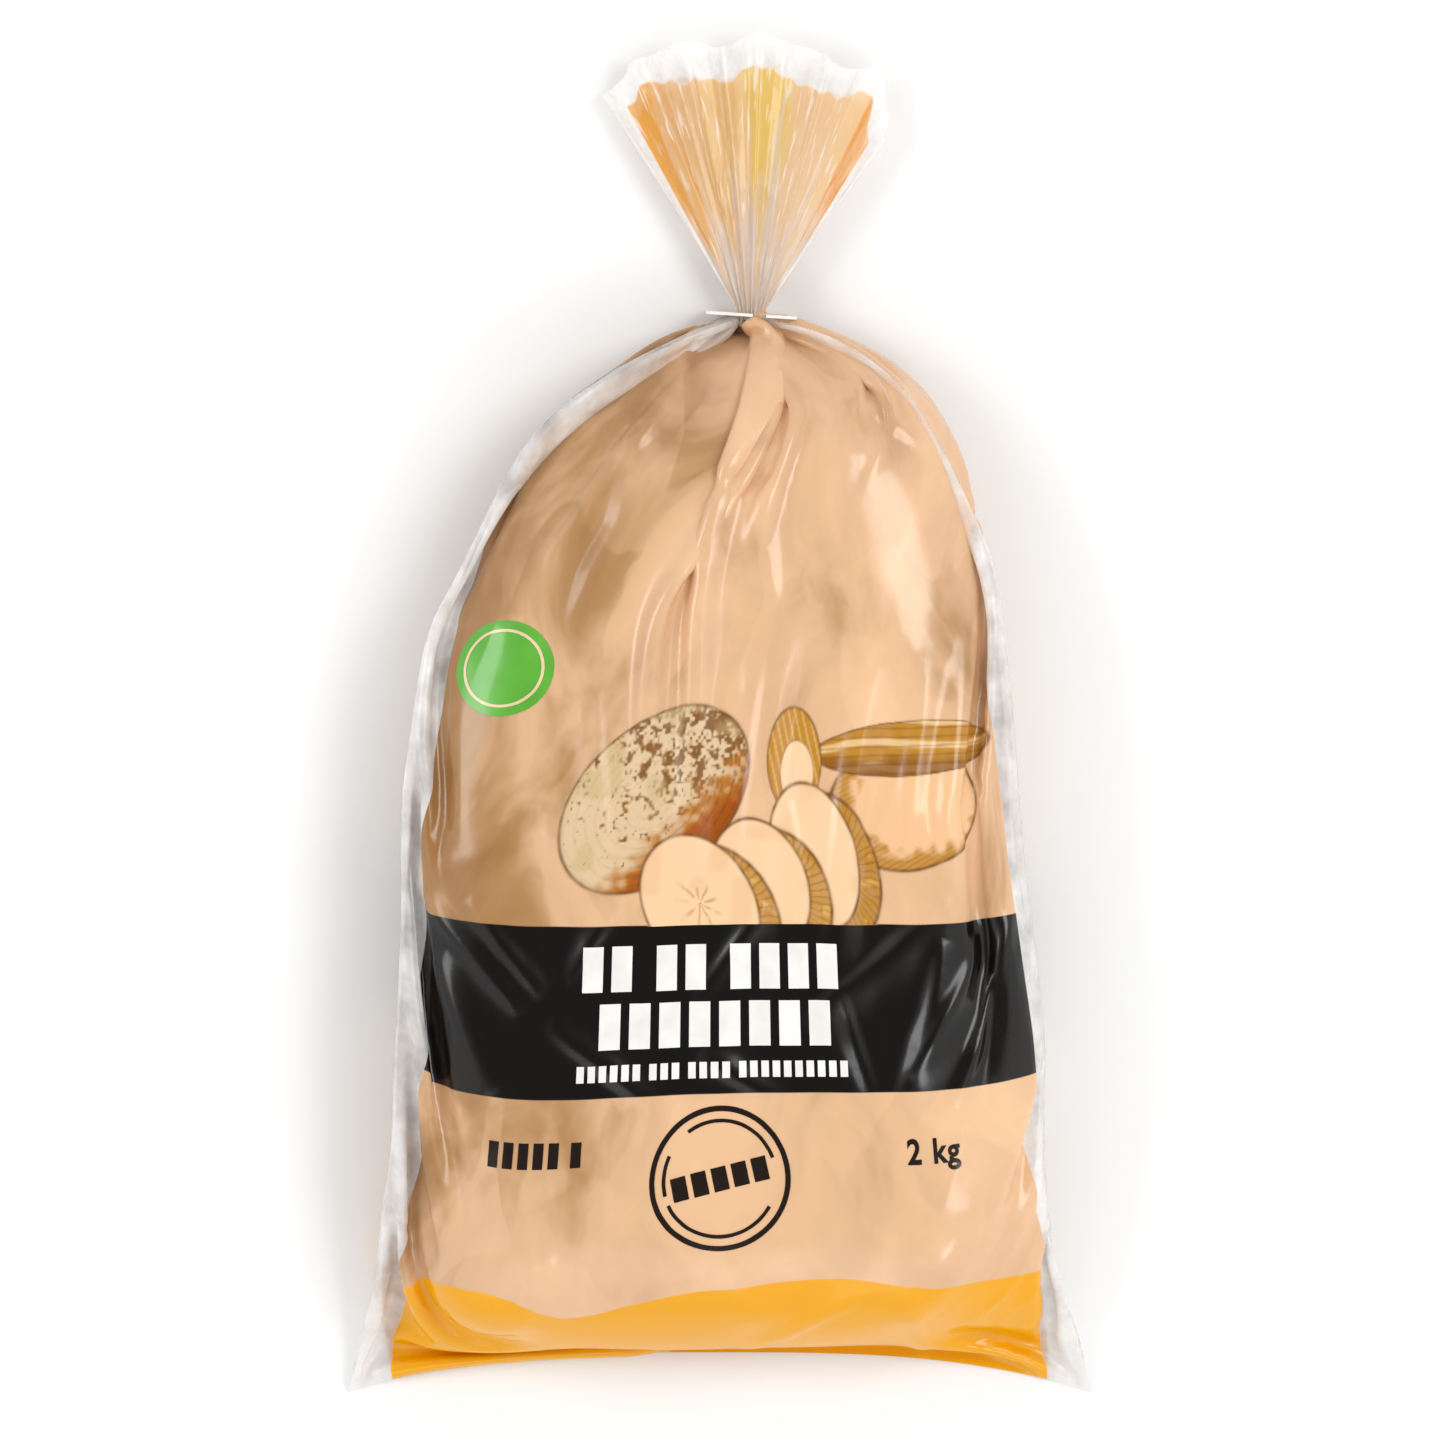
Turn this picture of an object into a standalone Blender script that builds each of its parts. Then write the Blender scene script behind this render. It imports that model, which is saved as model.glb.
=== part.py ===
"""A tied film bag of potatoes, lying on its back.

Row frame, in metres: +X across the bag, +Y from the bottom seal to the mouth, +Z up from
the surface that the bag lies on. The origin is at the centre of the bag's footprint.
The potatoes are laid out first, and the bag takes its size and place from them.
"""

import math

import bmesh
import bpy
import numpy as np
from mathutils import Euler, Vector

MM = 0.001

# The film
LAY_FLAT_WIDTH = 280.0  # width of the empty bag, which its flat bottom corners keep
WALL = 0.4  # stands for 0.05 mm film
SEAL = 6.0  # welded strip along the bottom edge
CORNER_DROP = 15.3  # how far the flat corners reach below the middle of the bottom edge
TOE_ROOM = 11.5  # from the bottom edge to the first potato
SIDE_ROOM = 7.5  # from the widest row of potatoes to the bag's side
TOP_ROOM = 4.5  # from the thickest potato to the film over it
SHOULDER_ROOM = 29.0  # from the last potato to the neck

# The neck and the fan of film above it
NECK_RADIUS = 6.2
NECK_LUMEN = 1.8  # what the gathered folds leave open
NECK_SHIFT = 11.8  # the neck is tied this far right of the middle
NECK_LENGTH = 4.0  # straight stretch that the closure grips
FAN_LENGTH = 101.5
FAN_HALF_ANGLE = 34.2  # degrees
FAN_TURN = 1.6  # degrees to the right
FAN_HALF_THICKNESS = 7.0
FAN_OFF_FLOOR = 0.7  # under the lowest pleat at the fan's end
PLEATS = 4.5  # across each side of the fan
PLEAT_DEPTH = 3.0  # at the fan's end, up and down

# The closure, a flat plastic tag
TAG_WIDTH = 34.0
TAG_HEIGHT = 25.0
TAG_THICKNESS = 1.1
TAG_CORNER = 4.0
TAG_SLOT = 5.0
TAG_SLOT_SHIFT = 3.0  # the slot is this far right of the neck
TAG_CLEARANCE = 0.5  # between the tag's hole and the neck
TAG_OFF_FLOOR = 1.2
TAG_TURN = -3.7  # degrees about the vertical
TAG_LEAN = 4.0  # degrees, top edge towards the bag

# Potatoes, in rows from the bottom: length, width, height in mm and heading in degrees
ROWS = (
    ((83, 61, 57, 38), (77, 59, 54, -35), (81, 60, 57, 50)),
    ((79, 58, 54, -48), (85, 62, 57, 30), (77, 58, 55, -40)),
    ((82, 60, 57, 42), (75, 58, 54, -25), (84, 61, 57, 52)),
    ((75, 57, 55, -48), (82, 60, 57, 58), (76, 58, 55, -58)),
    ((75, 56, 53, 8), (72, 55, 52, -12)),
)
ROW_SHIFTS = (0.0, -1.0, -3.0, -1.0, 4.0)  # mm to the right of the bag's middle
POTATO_GAP = 1.0
FILM_GAP = 0.3  # between a potato and the film that it lies on
LUMP = 0.05  # how far a potato's surface strays from an ellipsoid
POTATO_MERIDIANS = 20
POTATO_PARALLELS = 12

# The bag's outline: (share of the way from the bottom corners to the neck, share of the
# half width at the belly). The corners' own share comes from LAY_FLAT_WIDTH.
LEFT_OUTLINE = (
    (0.10, 1.089), (0.16, 1.057), (0.28, 1.018), (0.46, 1.0), (0.60, 0.984),
    (0.69, 0.934), (0.755, 0.832), (0.83, 0.701), (0.90, 0.546), (0.948, 0.312),
    (0.992, 0.004),
)
RIGHT_OUTLINE = (
    (0.09, 1.108), (0.135, 1.052), (0.165, 1.017), (0.33, 1.017), (0.46, 0.974),
    (0.65, 0.919), (0.74, 0.889), (0.814, 0.803), (0.862, 0.726), (0.92, 0.609),
    (0.968, 0.415), (0.990, 0.214),
)
# The film's height over the middle: (share of the way along, share of the belly's height)
TOP_OUTLINE = (
    (0.0, 0.66), (0.02, 0.88), (0.05, 0.98), (0.09, 1.0), (0.82, 1.0), (0.88, 0.97), (0.94, 0.89),
    (1.0, 0.72),
)
# How far the fan's top edge is from the neck: (-1 at its left side to 1 at its right, share)
FAN_OUTLINE = (
    (-1.0, 0.955), (-0.8, 0.965), (-0.5, 0.993), (-0.25, 1.0), (0.0, 0.995), (0.25, 0.965),
    (0.5, 0.945), (0.73, 0.95), (0.88, 0.85), (1.0, 0.765),
)

# Mesh density
POINTS_AROUND = 40
BODY_RINGS = 22
FAN_RINGS = 5

BELLY_BELOW_SEAM = 0.46  # share of the belly's height that is below the side seams
FLAT_SHARE = 0.7  # share of the half width that lies flat on the surface
CLOSED_GAP = 0.05  # between front and back film where they lie on each other


def curve_through(points, at):
    """Values at `at` of a smooth curve through (place, value) points that never overshoots them."""
    x, y = np.array(points, float).T
    h, d = np.diff(x), np.diff(y) / np.diff(x)
    slope = np.concatenate([[d[0]], np.zeros(len(x) - 2), [d[-1]]])
    same = d[:-1] * d[1:] > 0
    w1, w2 = 2 * h[1:] + h[:-1], h[1:] + 2 * h[:-1]
    safe = np.where(same, d[:-1], 1.0), np.where(same, d[1:], 1.0)
    slope[1:-1] = np.where(same, (w1 + w2) / (w1 / safe[0] + w2 / safe[1]), 0.0)
    at = np.clip(at, x[0], x[-1])
    i = np.clip(np.searchsorted(x, at) - 1, 0, len(h) - 1)
    t = (at - x[i]) / h[i]
    return (
        y[i] * (1 + 2 * t) * (1 - t) ** 2 + slope[i] * h[i] * t * (1 - t) ** 2
        + y[i + 1] * t * t * (3 - 2 * t) + slope[i + 1] * h[i] * t * t * (t - 1)
    )


# ---------------------------------------------------------------- potatoes


def potato_points(length, width, height, heading, seed):
    """Points of one potato in mm, ring by ring from its left tip to its right, then the tips.

    An ellipsoid with a few low lumps and a slight bend, scaled back to its exact size, turned
    to its heading and resting on z = 0.
    """
    random = np.random.default_rng(seed)
    along = np.linspace(0, math.pi, POTATO_PARALLELS + 1)[1:-1]
    around = np.arange(POTATO_MERIDIANS) * 2 * math.pi / POTATO_MERIDIANS
    a, b = np.meshgrid(along, around, indexing="ij")
    directions = np.stack([-np.cos(a), np.sin(a) * np.cos(b), np.sin(a) * np.sin(b)], -1)
    directions = np.vstack([directions.reshape(-1, 3), [[-1, 0, 0], [1, 0, 0]]])
    swell = np.zeros(len(directions))
    for waves in (1.6, 2.3, 3.1):
        axis = random.normal(size=3)
        axis *= waves / np.linalg.norm(axis)
        swell += np.sin(directions @ axis + random.uniform(0, 2 * math.pi)) / waves
    points = directions * (1 + LUMP * swell)[:, None]
    points[:, 1] += random.uniform(-0.12, 0.12) * points[:, 0] ** 2
    low, high = points.min(0), points.max(0)
    points = (points - (low + high) / 2) * np.array([length, width, height]) / (high - low)
    c, s = math.cos(math.radians(heading)), math.sin(math.radians(heading))
    points = points @ np.array([[c, s, 0], [-s, c, 0], [0, 0, 1]])
    points[:, 2] -= points[:, 2].min()
    return points


def lower_edge(points, xs):
    """The y of the points' convex outline on its near side at each x, and infinity beside it."""
    flat = points[:, :2]
    angles = np.linspace(0, 2 * math.pi, 120, endpoint=False)
    support = np.stack([np.cos(angles), np.sin(angles)], 1)
    reach = (flat @ support.T).max(0)
    low = np.full(len(xs), np.inf)
    inside = (xs >= flat[:, 0].min()) & (xs <= flat[:, 0].max())
    down = support[:, 1] < -0.05
    bound = (reach[down] - np.outer(xs[inside], support[down, 0])) / support[down, 1]
    low[inside] = bound.max(1)
    return low


def lay_out_potatoes():
    """Lays the rows on each other as a person would pack them, each potato as low as it goes.

    Returns:
        Points of each potato, with x across, y from the first row's near edge, and z up.
    """
    laid = []
    xs = np.arange(-200.0, 200.5, 1.0)
    skyline = np.zeros(len(xs))
    for row, shift in zip(ROWS, ROW_SHIFTS):
        shapes = [
            potato_points(*size, seed=len(laid) + i) for i, size in enumerate(row)
        ]
        spans = [np.ptp(points[:, 0]) for points in shapes]
        x = shift - (sum(spans) + POTATO_GAP * (len(row) - 1)) / 2
        for points, span in zip(shapes, spans):
            points[:, 0] += x - points[:, 0].min()
            x += span + POTATO_GAP
            near = lower_edge(points, xs)
            under = np.isfinite(near)
            points[:, 1] += (skyline[under] - near[under]).max() + POTATO_GAP
            turned = points * np.array([1, -1, 1])
            far = np.where(under, -lower_edge(turned, xs), -np.inf)
            skyline = np.maximum(skyline, far)
            laid.append(points)
    base = min(points[:, 1].min() for points in laid)
    for points in laid:
        points[:, 1] -= base
    return laid


POTATOES = lay_out_potatoes()
BELLY_HALF = max(np.abs(p[:, 0]).max() for p in POTATOES) + SIDE_ROOM
BELLY_HEIGHT = max(p[:, 2].max() for p in POTATOES) + FILM_GAP + TOP_ROOM + 2 * WALL
SEAM_HEIGHT = BELLY_BELOW_SEAM * BELLY_HEIGHT
CONTENTS_START = CORNER_DROP + TOE_ROOM
CONTENTS_END = CONTENTS_START + max(p[:, 1].max() for p in POTATOES)
NECK_START = CONTENTS_END + SHOULDER_ROOM
NECK_END = NECK_START + NECK_LENGTH
NECK_HEIGHT = TAG_HEIGHT / 2 + TAG_OFF_FLOOR
FAN_END_HEIGHT = FAN_HALF_THICKNESS + PLEAT_DEPTH + FAN_OFF_FLOOR
BAG_LENGTH = NECK_END + FAN_LENGTH
ORIGIN_Y = BAG_LENGTH / 2


# ---------------------------------------------------------------- bag


def side_outline(outline, along):
    """Distance from the bag's middle to one side, at distances `along` from the corners' line."""
    corner = (0.0, LAY_FLAT_WIDTH / 2 / BELLY_HALF)
    points = [(s * NECK_START, share * BELLY_HALF) for s, share in (corner, *outline)]
    return curve_through(points, along)


def body_section(middle, inset):
    """One ring of the bag between its bottom edge and its neck.

    Args:
        middle: where the ring crosses the middle of the front, in mm from the corners' line.
        inset: 0 for the film's outside, or how far inside it the ring lies.
    """
    bottom = CORNER_DROP
    toe = (middle - bottom) / (CONTENTS_START - bottom)
    share = (middle - CONTENTS_START) / (CONTENTS_END - CONTENTS_START)
    droop = CORNER_DROP * max(0.0, 1 - (middle - bottom) / 90.0) ** 2
    to_neck = max(0.0, (middle - CONTENTS_END) / (NECK_START - CONTENTS_END))
    ease = to_neck * to_neck * (3 - 2 * to_neck)

    side_at = middle - droop
    left = side_outline(LEFT_OUTLINE, side_at)
    right = side_outline(RIGHT_OUTLINE, side_at)
    left = left + (NECK_RADIUS - NECK_SHIFT - left) * max(0.0, ease * 8 - 7)
    right = right + (NECK_RADIUS + NECK_SHIFT - right) * max(0.0, ease * 8 - 7)
    flat_top = 2 * WALL
    if toe < 1:
        top = flat_top + (TOP_OUTLINE[0][1] * BELLY_HEIGHT - flat_top) * math.sin(max(toe, 0) * math.pi / 2)
    elif share < 1:
        top = curve_through(TOP_OUTLINE, share) * BELLY_HEIGHT
    else:
        end = TOP_OUTLINE[-1][1] * BELLY_HEIGHT
        top = end + (NECK_HEIGHT + NECK_RADIUS - end) * (1 - (1 - to_neck) ** 1.4)
    rise = min(1.0, max(0.0, middle - bottom) / 80.0)
    seam = flat_top / 2 + (SEAM_HEIGHT - flat_top / 2) * math.sin(rise * math.pi / 2) ** 1.5
    seam = min(seam, top / 2) if toe < 1 else seam
    seam += (NECK_HEIGHT - seam) * ease
    base = (NECK_HEIGHT - NECK_RADIUS) * ease**2
    plump = min(1.0, max(0.0, middle - bottom) / 28.0)
    power = 1.5 - plump
    order = 3.0 + 1.5 * plump - 2.5 * ease

    angles = np.arange(POINTS_AROUND) * 2 * math.pi / POINTS_AROUND
    across = np.cos(angles)
    ear = inset + 24.0 * (1 - plump) * (inset > 0)
    centre, half = (right - left) / 2, (right + left) / 2
    x = centre + (half - ear) * across
    c = np.clip(np.abs((x - centre) / half), 0, 1)
    over = seam + (top - seam) * (1 - c**order) ** power
    sweep = np.clip((c - FLAT_SHARE) / (1 - FLAT_SHARE), 0, 1)
    squashed = base + (seam - base) * (1 - np.sqrt(1 - sweep**2))
    round_under = seam - (seam - base) * np.sqrt(1 - c * c)
    under = squashed + (round_under - squashed) * ease
    z = np.where(np.sin(angles) >= 0, over - inset, under + inset)
    if inset:
        floor = np.minimum(under + inset, (over + under) / 2 - CLOSED_GAP)
        roof = np.maximum(over - inset, floor + 2 * CLOSED_GAP)
        z = np.where(np.sin(angles) >= 0, roof, floor)
    tips = np.isclose(np.sin(angles), 0)
    z[tips] = ((over + under) / 2)[tips]
    y = middle - droop * c**3
    return np.stack([x, y, z], 1)


def neck_ring(along, radius):
    """One round ring of the neck."""
    angles = np.arange(POINTS_AROUND) * 2 * math.pi / POINTS_AROUND
    return np.stack(
        [
            NECK_SHIFT + radius * np.cos(angles),
            np.full(POINTS_AROUND, along),
            NECK_HEIGHT + radius * np.sin(angles),
        ],
        1,
    )


def fan_ring(share, inset):
    """One ring of the fan, at a share of its length from the neck.

    Front and back share their pleats, so they never meet.
    """
    angles = np.arange(POINTS_AROUND) * 2 * math.pi / POINTS_AROUND
    even = np.abs(angles / math.pi - 1) * 2 - 1
    across = np.cos(angles) + (even - np.cos(angles)) * share
    half = NECK_RADIUS + (FAN_HALF_THICKNESS - NECK_RADIUS) * share
    squeeze = 1 - inset / half
    heading = np.radians(FAN_TURN + FAN_HALF_ANGLE * across * squeeze)
    reach = curve_through(FAN_OUTLINE, across) * FAN_LENGTH * share
    pleat = PLEAT_DEPTH * share * np.sin(PLEATS * math.pi * across)
    middle = NECK_HEIGHT + (FAN_END_HEIGHT - NECK_HEIGHT) * share
    z = middle + (half - inset) * np.sin(angles) + pleat
    return np.stack(
        [
            NECK_SHIFT + NECK_RADIUS * across * squeeze + reach * np.sin(heading),
            NECK_END + reach * np.cos(heading),
            z,
        ],
        1,
    )


def bag_rings():
    """Rings of the film's outside from the bottom edge to the mouth, then of its inside.

    Both sides have their rings at the same places, which keeps the wall even.
    """
    ease = np.linspace(0, 1, BODY_RINGS)
    first = CORNER_DROP + SEAL
    last = NECK_START - 0.5
    stops = first + (last - first) * (ease - 0.11 * np.sin(2 * math.pi * ease))
    necks = (NECK_START, NECK_END)
    shares = np.linspace(0, 1, FAN_RINGS + 1)[1:]
    outside = [body_section(v, 0.0) for v in (CORNER_DROP, *stops)]
    outside += [neck_ring(v, NECK_RADIUS) for v in necks] + [fan_ring(s, 0.0) for s in shares]
    inside = [body_section(v, WALL) for v in stops[:-1]]
    inside += [neck_ring(v, NECK_LUMEN) for v in necks] + [fan_ring(s, WALL) for s in shares]
    return outside, inside


def add_ring(mesh, ring):
    """Adds one ring's points, in mm from the corners' line, as vertices in the row frame."""
    return [mesh.verts.new((x * MM, (y - ORIGIN_Y) * MM, z * MM)) for x, y, z in ring]


def bridge(mesh, first, second):
    """Joins two rings of vertices with a band of faces."""
    count = len(first)
    for i in range(count):
        j = (i + 1) % count
        mesh.faces.new((first[i], first[j], second[j], second[i]))


def close_flat(mesh, ring):
    """Closes a flattened ring by joining each point of its front to the one behind it."""
    count = len(ring)
    for i in range(count // 2):
        a, b = ring[i], ring[i + 1]
        c, d = ring[(count - i - 1) % count], ring[(count - i) % count]
        corners = list(dict.fromkeys((a, b, c, d)))
        mesh.faces.new(corners)


def make_bag(material):
    """The film: an open bag with its outside, its inside and the rim of its mouth."""
    mesh = bmesh.new()
    outside, inside = bag_rings()
    outer = [add_ring(mesh, ring) for ring in outside]
    inner = [add_ring(mesh, ring) for ring in inside]
    for rings in (outer, inner):
        for first, second in zip(rings, rings[1:]):
            bridge(mesh, first, second)
        close_flat(mesh, rings[0])
    bridge(mesh, outer[-1], inner[-1])
    return finish("bag_film", mesh, material)


# ---------------------------------------------------------------- closure and scene


def make_closure(material):
    """A flat tag with a round hole for the neck and a slot that leads to it."""
    hole = NECK_RADIUS + TAG_CLEARANCE
    half_w, half_h, half_slot = TAG_WIDTH / 2, TAG_HEIGHT / 2, TAG_SLOT / 2
    lip_left, lip_right = TAG_SLOT_SHIFT - half_slot, TAG_SLOT_SHIFT + half_slot
    outline = [(lip_left, half_h)]
    for sx, sz, start in ((-1, 1, 90), (-1, -1, 180), (1, -1, 270), (1, 1, 0)):
        for step in range(6):
            angle = math.radians(start + 18 * step)
            outline.append(
                (
                    sx * (half_w - TAG_CORNER) + TAG_CORNER * math.cos(angle),
                    sz * (half_h - TAG_CORNER) + TAG_CORNER * math.sin(angle),
                )
            )
    outline.append((lip_right, half_h))
    first = math.asin(lip_right / hole)
    last = math.asin(lip_left / hole)
    turns = np.linspace(first, last + 2 * math.pi, 32)
    outline += [(hole * math.sin(t), hole * math.cos(t)) for t in turns]
    mesh = bmesh.new()
    face = mesh.faces.new(
        [mesh.verts.new((x * MM, -TAG_THICKNESS / 2 * MM, z * MM)) for x, z in outline]
    )
    made = bmesh.ops.extrude_face_region(mesh, geom=[face])["geom"]
    moved = [v for v in made if isinstance(v, bmesh.types.BMVert)]
    bmesh.ops.translate(mesh, vec=(0, TAG_THICKNESS * MM, 0), verts=moved)
    tag = finish("neck_closure", mesh, material)
    middle = (NECK_START + NECK_END) / 2 - ORIGIN_Y
    tag.location = Vector((NECK_SHIFT, middle, NECK_HEIGHT)) * MM
    tag.rotation_euler = Euler((math.radians(TAG_LEAN), 0, math.radians(TAG_TURN)))
    return tag


def make_potato(number, points, material):
    """One potato on the film, from the layout's points."""
    mesh = bmesh.new()
    lifted = points + np.array([0, CONTENTS_START, WALL + FILM_GAP])
    verts = add_ring(mesh, lifted)
    around, rings = POTATO_MERIDIANS, POTATO_PARALLELS - 1
    belts = [verts[i * around : (i + 1) * around] for i in range(rings)]
    for first, second in zip(belts, belts[1:]):
        bridge(mesh, first, second)
    for tip, belt in ((verts[-2], belts[0]), (verts[-1], belts[-1])):
        for i in range(around):
            mesh.faces.new((tip, belt[i], belt[(i + 1) % around]))
    return finish(f"potato_{number:02d}", mesh, material)


def finish(name, mesh, material):
    """Turns a bmesh into a named object with outward faces, smooth shading and a material."""
    bmesh.ops.recalc_face_normals(mesh, faces=mesh.faces)
    data = bpy.data.meshes.new(name)
    mesh.to_mesh(data)
    mesh.free()
    data.shade_smooth()
    data.set_sharp_from_angle(angle=math.radians(40))
    data.materials.append(material)
    made = bpy.data.objects.new(name, data)
    bpy.context.scene.collection.objects.link(made)
    return made


def make_material(name, colour, roughness, alpha=1.0):
    """A plain Principled material."""
    material = bpy.data.materials.new(name)
    material.use_nodes = True
    shader = material.node_tree.nodes["Principled BSDF"]
    shader.inputs["Base Color"].default_value = (*colour, 1.0)
    shader.inputs["Roughness"].default_value = roughness
    shader.inputs["Metallic"].default_value = 0.0
    shader.inputs["Alpha"].default_value = alpha
    return material


def main():
    """Builds the bag, its closure and its potatoes."""
    for old in list(bpy.data.objects):
        bpy.data.objects.remove(old)
    film = make_material("printed_film", (0.79, 0.50, 0.28), 0.3)
    skin = make_material("potato_skin", (0.62, 0.42, 0.22), 0.65)
    plastic = make_material("closure_plastic", (0.85, 0.84, 0.82), 0.4)
    make_bag(film)
    make_closure(plastic)
    for number, points in enumerate(POTATOES, start=1):
        make_potato(number, points, skin)


main()
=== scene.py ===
"""A printed film bag of potatoes, tied with a flat tag and lying on its back.

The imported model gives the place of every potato, the tag and the neck. This script wraps a
sheet of film round them, prints it, and dresses the potatoes. Lengths inside the classes are
in millimetres in the row frame; meshes are written in metres.
"""

from __future__ import annotations

import logging
import math
from collections.abc import Iterable, Mapping
from dataclasses import dataclass, field
from enum import Enum
from typing import Any

import bmesh
import bpy
import numpy as np
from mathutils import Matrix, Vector

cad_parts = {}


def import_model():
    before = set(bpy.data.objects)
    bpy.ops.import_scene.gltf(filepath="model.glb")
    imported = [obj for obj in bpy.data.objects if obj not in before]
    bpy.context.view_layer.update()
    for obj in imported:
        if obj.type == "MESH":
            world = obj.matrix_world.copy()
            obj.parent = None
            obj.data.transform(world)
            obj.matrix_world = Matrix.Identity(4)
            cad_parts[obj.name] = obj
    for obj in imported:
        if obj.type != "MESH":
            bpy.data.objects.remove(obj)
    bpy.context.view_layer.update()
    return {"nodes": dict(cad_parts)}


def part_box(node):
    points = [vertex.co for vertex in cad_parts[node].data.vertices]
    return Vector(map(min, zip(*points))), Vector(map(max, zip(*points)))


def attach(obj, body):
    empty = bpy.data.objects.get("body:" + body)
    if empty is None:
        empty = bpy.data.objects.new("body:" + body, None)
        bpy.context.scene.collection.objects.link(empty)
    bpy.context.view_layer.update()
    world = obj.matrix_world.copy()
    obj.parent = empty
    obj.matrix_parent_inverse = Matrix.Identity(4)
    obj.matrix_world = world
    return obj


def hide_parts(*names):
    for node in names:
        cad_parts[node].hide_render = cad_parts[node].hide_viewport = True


LOG = logging.getLogger("bag_of_potatoes")
MM = 0.001
WAVES_PER_UNIT = 20.0  # a Wave Texture of scale 1 has about this many waves in 2 pi units
Array = np.ndarray
Place = tuple[float, float]
Table = tuple[Place, ...]


# ------------------------------------------------------------------ small tools


def linear(colour: str, alpha: float = 1.0) -> tuple[float, float, float, float]:
    """Turns an sRGB hex colour into linear RGBA.

    Args:
        colour: six hex digits, with or without a leading #.
        alpha: the fourth value.

    Returns:
        Linear red, green, blue and alpha.
    """
    parts = [int(colour.lstrip("#")[i : i + 2], 16) / 255 for i in (0, 2, 4)]
    red, green, blue = ((p / 12.92 if p <= 0.04045 else ((p + 0.055) / 1.055) ** 2.4) for p in parts)
    return red, green, blue, alpha


def node(
    tree: bpy.types.NodeTree,
    kind: str,
    settings: Mapping[Any, Any] | None = None,
    links: Mapping[Any, bpy.types.NodeSocket] | None = None,
) -> bpy.types.Node:
    """Adds one shader node with its settings and links.

    Args:
        tree: the material's node tree.
        kind: the node's type without its ShaderNode prefix.
        settings: property names, or input names or numbers, with their values. The stops of a
            Color Ramp are places from 0 to 1 with hex colours, in order.
        links: input names or numbers, with the sockets that feed them.

    Returns:
        The new node.
    """
    made = tree.nodes.new("ShaderNode" + kind)
    for key, value in (settings or {}).items():
        if key == "stops":
            elements = made.color_ramp.elements
            while len(elements) < len(value):
                elements.new(0.5)
            for element, (place, colour) in zip(elements, value):
                element.position, element.color = place, linear(colour)
        elif isinstance(key, str) and hasattr(made, key):
            setattr(made, key, value)
        else:
            made.inputs[key].default_value = value
    for key, socket in (links or {}).items():
        tree.links.new(socket, made.inputs[key])
    return made


def new_material(name: str) -> tuple[bpy.types.Material, bpy.types.NodeTree, bpy.types.Node]:
    """Makes an empty Principled material.

    Args:
        name: the material's name.

    Returns:
        The material, its node tree and its Principled BSDF.
    """
    material = bpy.data.materials.new(name)
    material.use_nodes = True
    tree = material.node_tree
    return material, tree, tree.nodes["Principled BSDF"]


def grid_faces(rows: int, columns: int, closed: bool = False) -> Array:
    """Corners of the quads of a grid whose points are numbered row by row.

    Args:
        rows: points along the first direction.
        columns: points along the second.
        closed: whether the last column joins the first.

    Returns:
        One row of four point numbers for each quad.
    """
    across = columns if closed else columns - 1
    i, j = np.meshgrid(np.arange(rows - 1), np.arange(across), indexing="ij")
    right = (j + 1) % columns
    low, high = i * columns, (i + 1) * columns
    return np.stack([low + j, low + right, high + right, high + j], -1).reshape(-1, 4)


def put_mesh(
    name: str,
    points: Array,
    faces: Array | list[list[int]],
    material: bpy.types.Material,
    maps: Mapping[str, Array] | None = None,
) -> bpy.types.Object:
    """Puts points in millimetres into a smooth mesh object at the origin.

    Args:
        name: the object's name.
        points: one row of x, y, z for each point.
        faces: point numbers of each face.
        material: the object's only material.
        maps: names of UV maps, each with two values in mm for every point, stored in metres.

    Returns:
        The object, linked to the scene.
    """
    data = bpy.data.meshes.new(name)
    data.from_pydata((points * MM).tolist(), [], faces.tolist() if isinstance(faces, np.ndarray) else faces)
    data.shade_smooth()
    data.materials.append(material)
    for label, values in (maps or {}).items():
        corner = np.empty(len(data.loops), np.int32)
        data.loops.foreach_get("vertex_index", corner)
        layer = data.uv_layers.new(name=label)
        layer.data.foreach_set("uv", (values[corner] * MM).astype(np.float32).ravel())
    made = bpy.data.objects.new(name, data)
    bpy.context.scene.collection.objects.link(made)
    return made


def cubic_doubled(points: Array, closed: bool) -> Array:
    """Doubles the points along the first axis on Catmull-Rom curves.

    A point halfway between b and c with neighbours a and d is (9(b + c) - a - d) / 16.

    Args:
        points: any array whose first axis is the one to double.
        closed: whether the last point is followed by the first.

    Returns:
        The array with a new point after each old one, except after the last of an open row.
    """
    if closed:
        before, after, beyond = (np.roll(points, shift, 0) for shift in (1, -1, -2))
        middle = (9 * (points + after) - before - beyond) / 16
        joined = np.stack([points, middle], 1)
        return joined.reshape(-1, *points.shape[1:])
    padded = np.concatenate([2 * points[:1] - points[1:2], points, 2 * points[-1:] - points[-2:-1]])
    middle = (9 * (padded[1:-2] + padded[2:-1]) - padded[:-3] - padded[3:]) / 16
    joined = np.empty((2 * len(points) - 1, *points.shape[1:]), points.dtype)
    joined[0::2], joined[1::2] = points, middle
    return joined


# ------------------------------------------------------------------ finishes


def every(size: float) -> float:
    """Scale of a pattern whose features are this many millimetres apart, on metre coordinates."""
    return 1 / (size * MM)


class Panel(Enum):
    """The two panels of the bag's film."""

    FRONT = "film_front"
    BACK = "film_back"


@dataclass(frozen=True)
class Pull:
    """The way creases run on the filled bag: in a V below, and towards the neck above.

    A crease follows places with one value of sqrt(u^2 + middle^2) + bend (v - turn)^2.
    """

    turn: float = 260.0
    bend: float = 0.0019
    middle: float = 22.0

    def drawn(self, u: Array, v: Array) -> Array:
        """The value that stays the same along a crease, in mm."""
        return np.hypot(u, self.middle) + self.bend * (v - self.turn) ** 2


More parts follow.
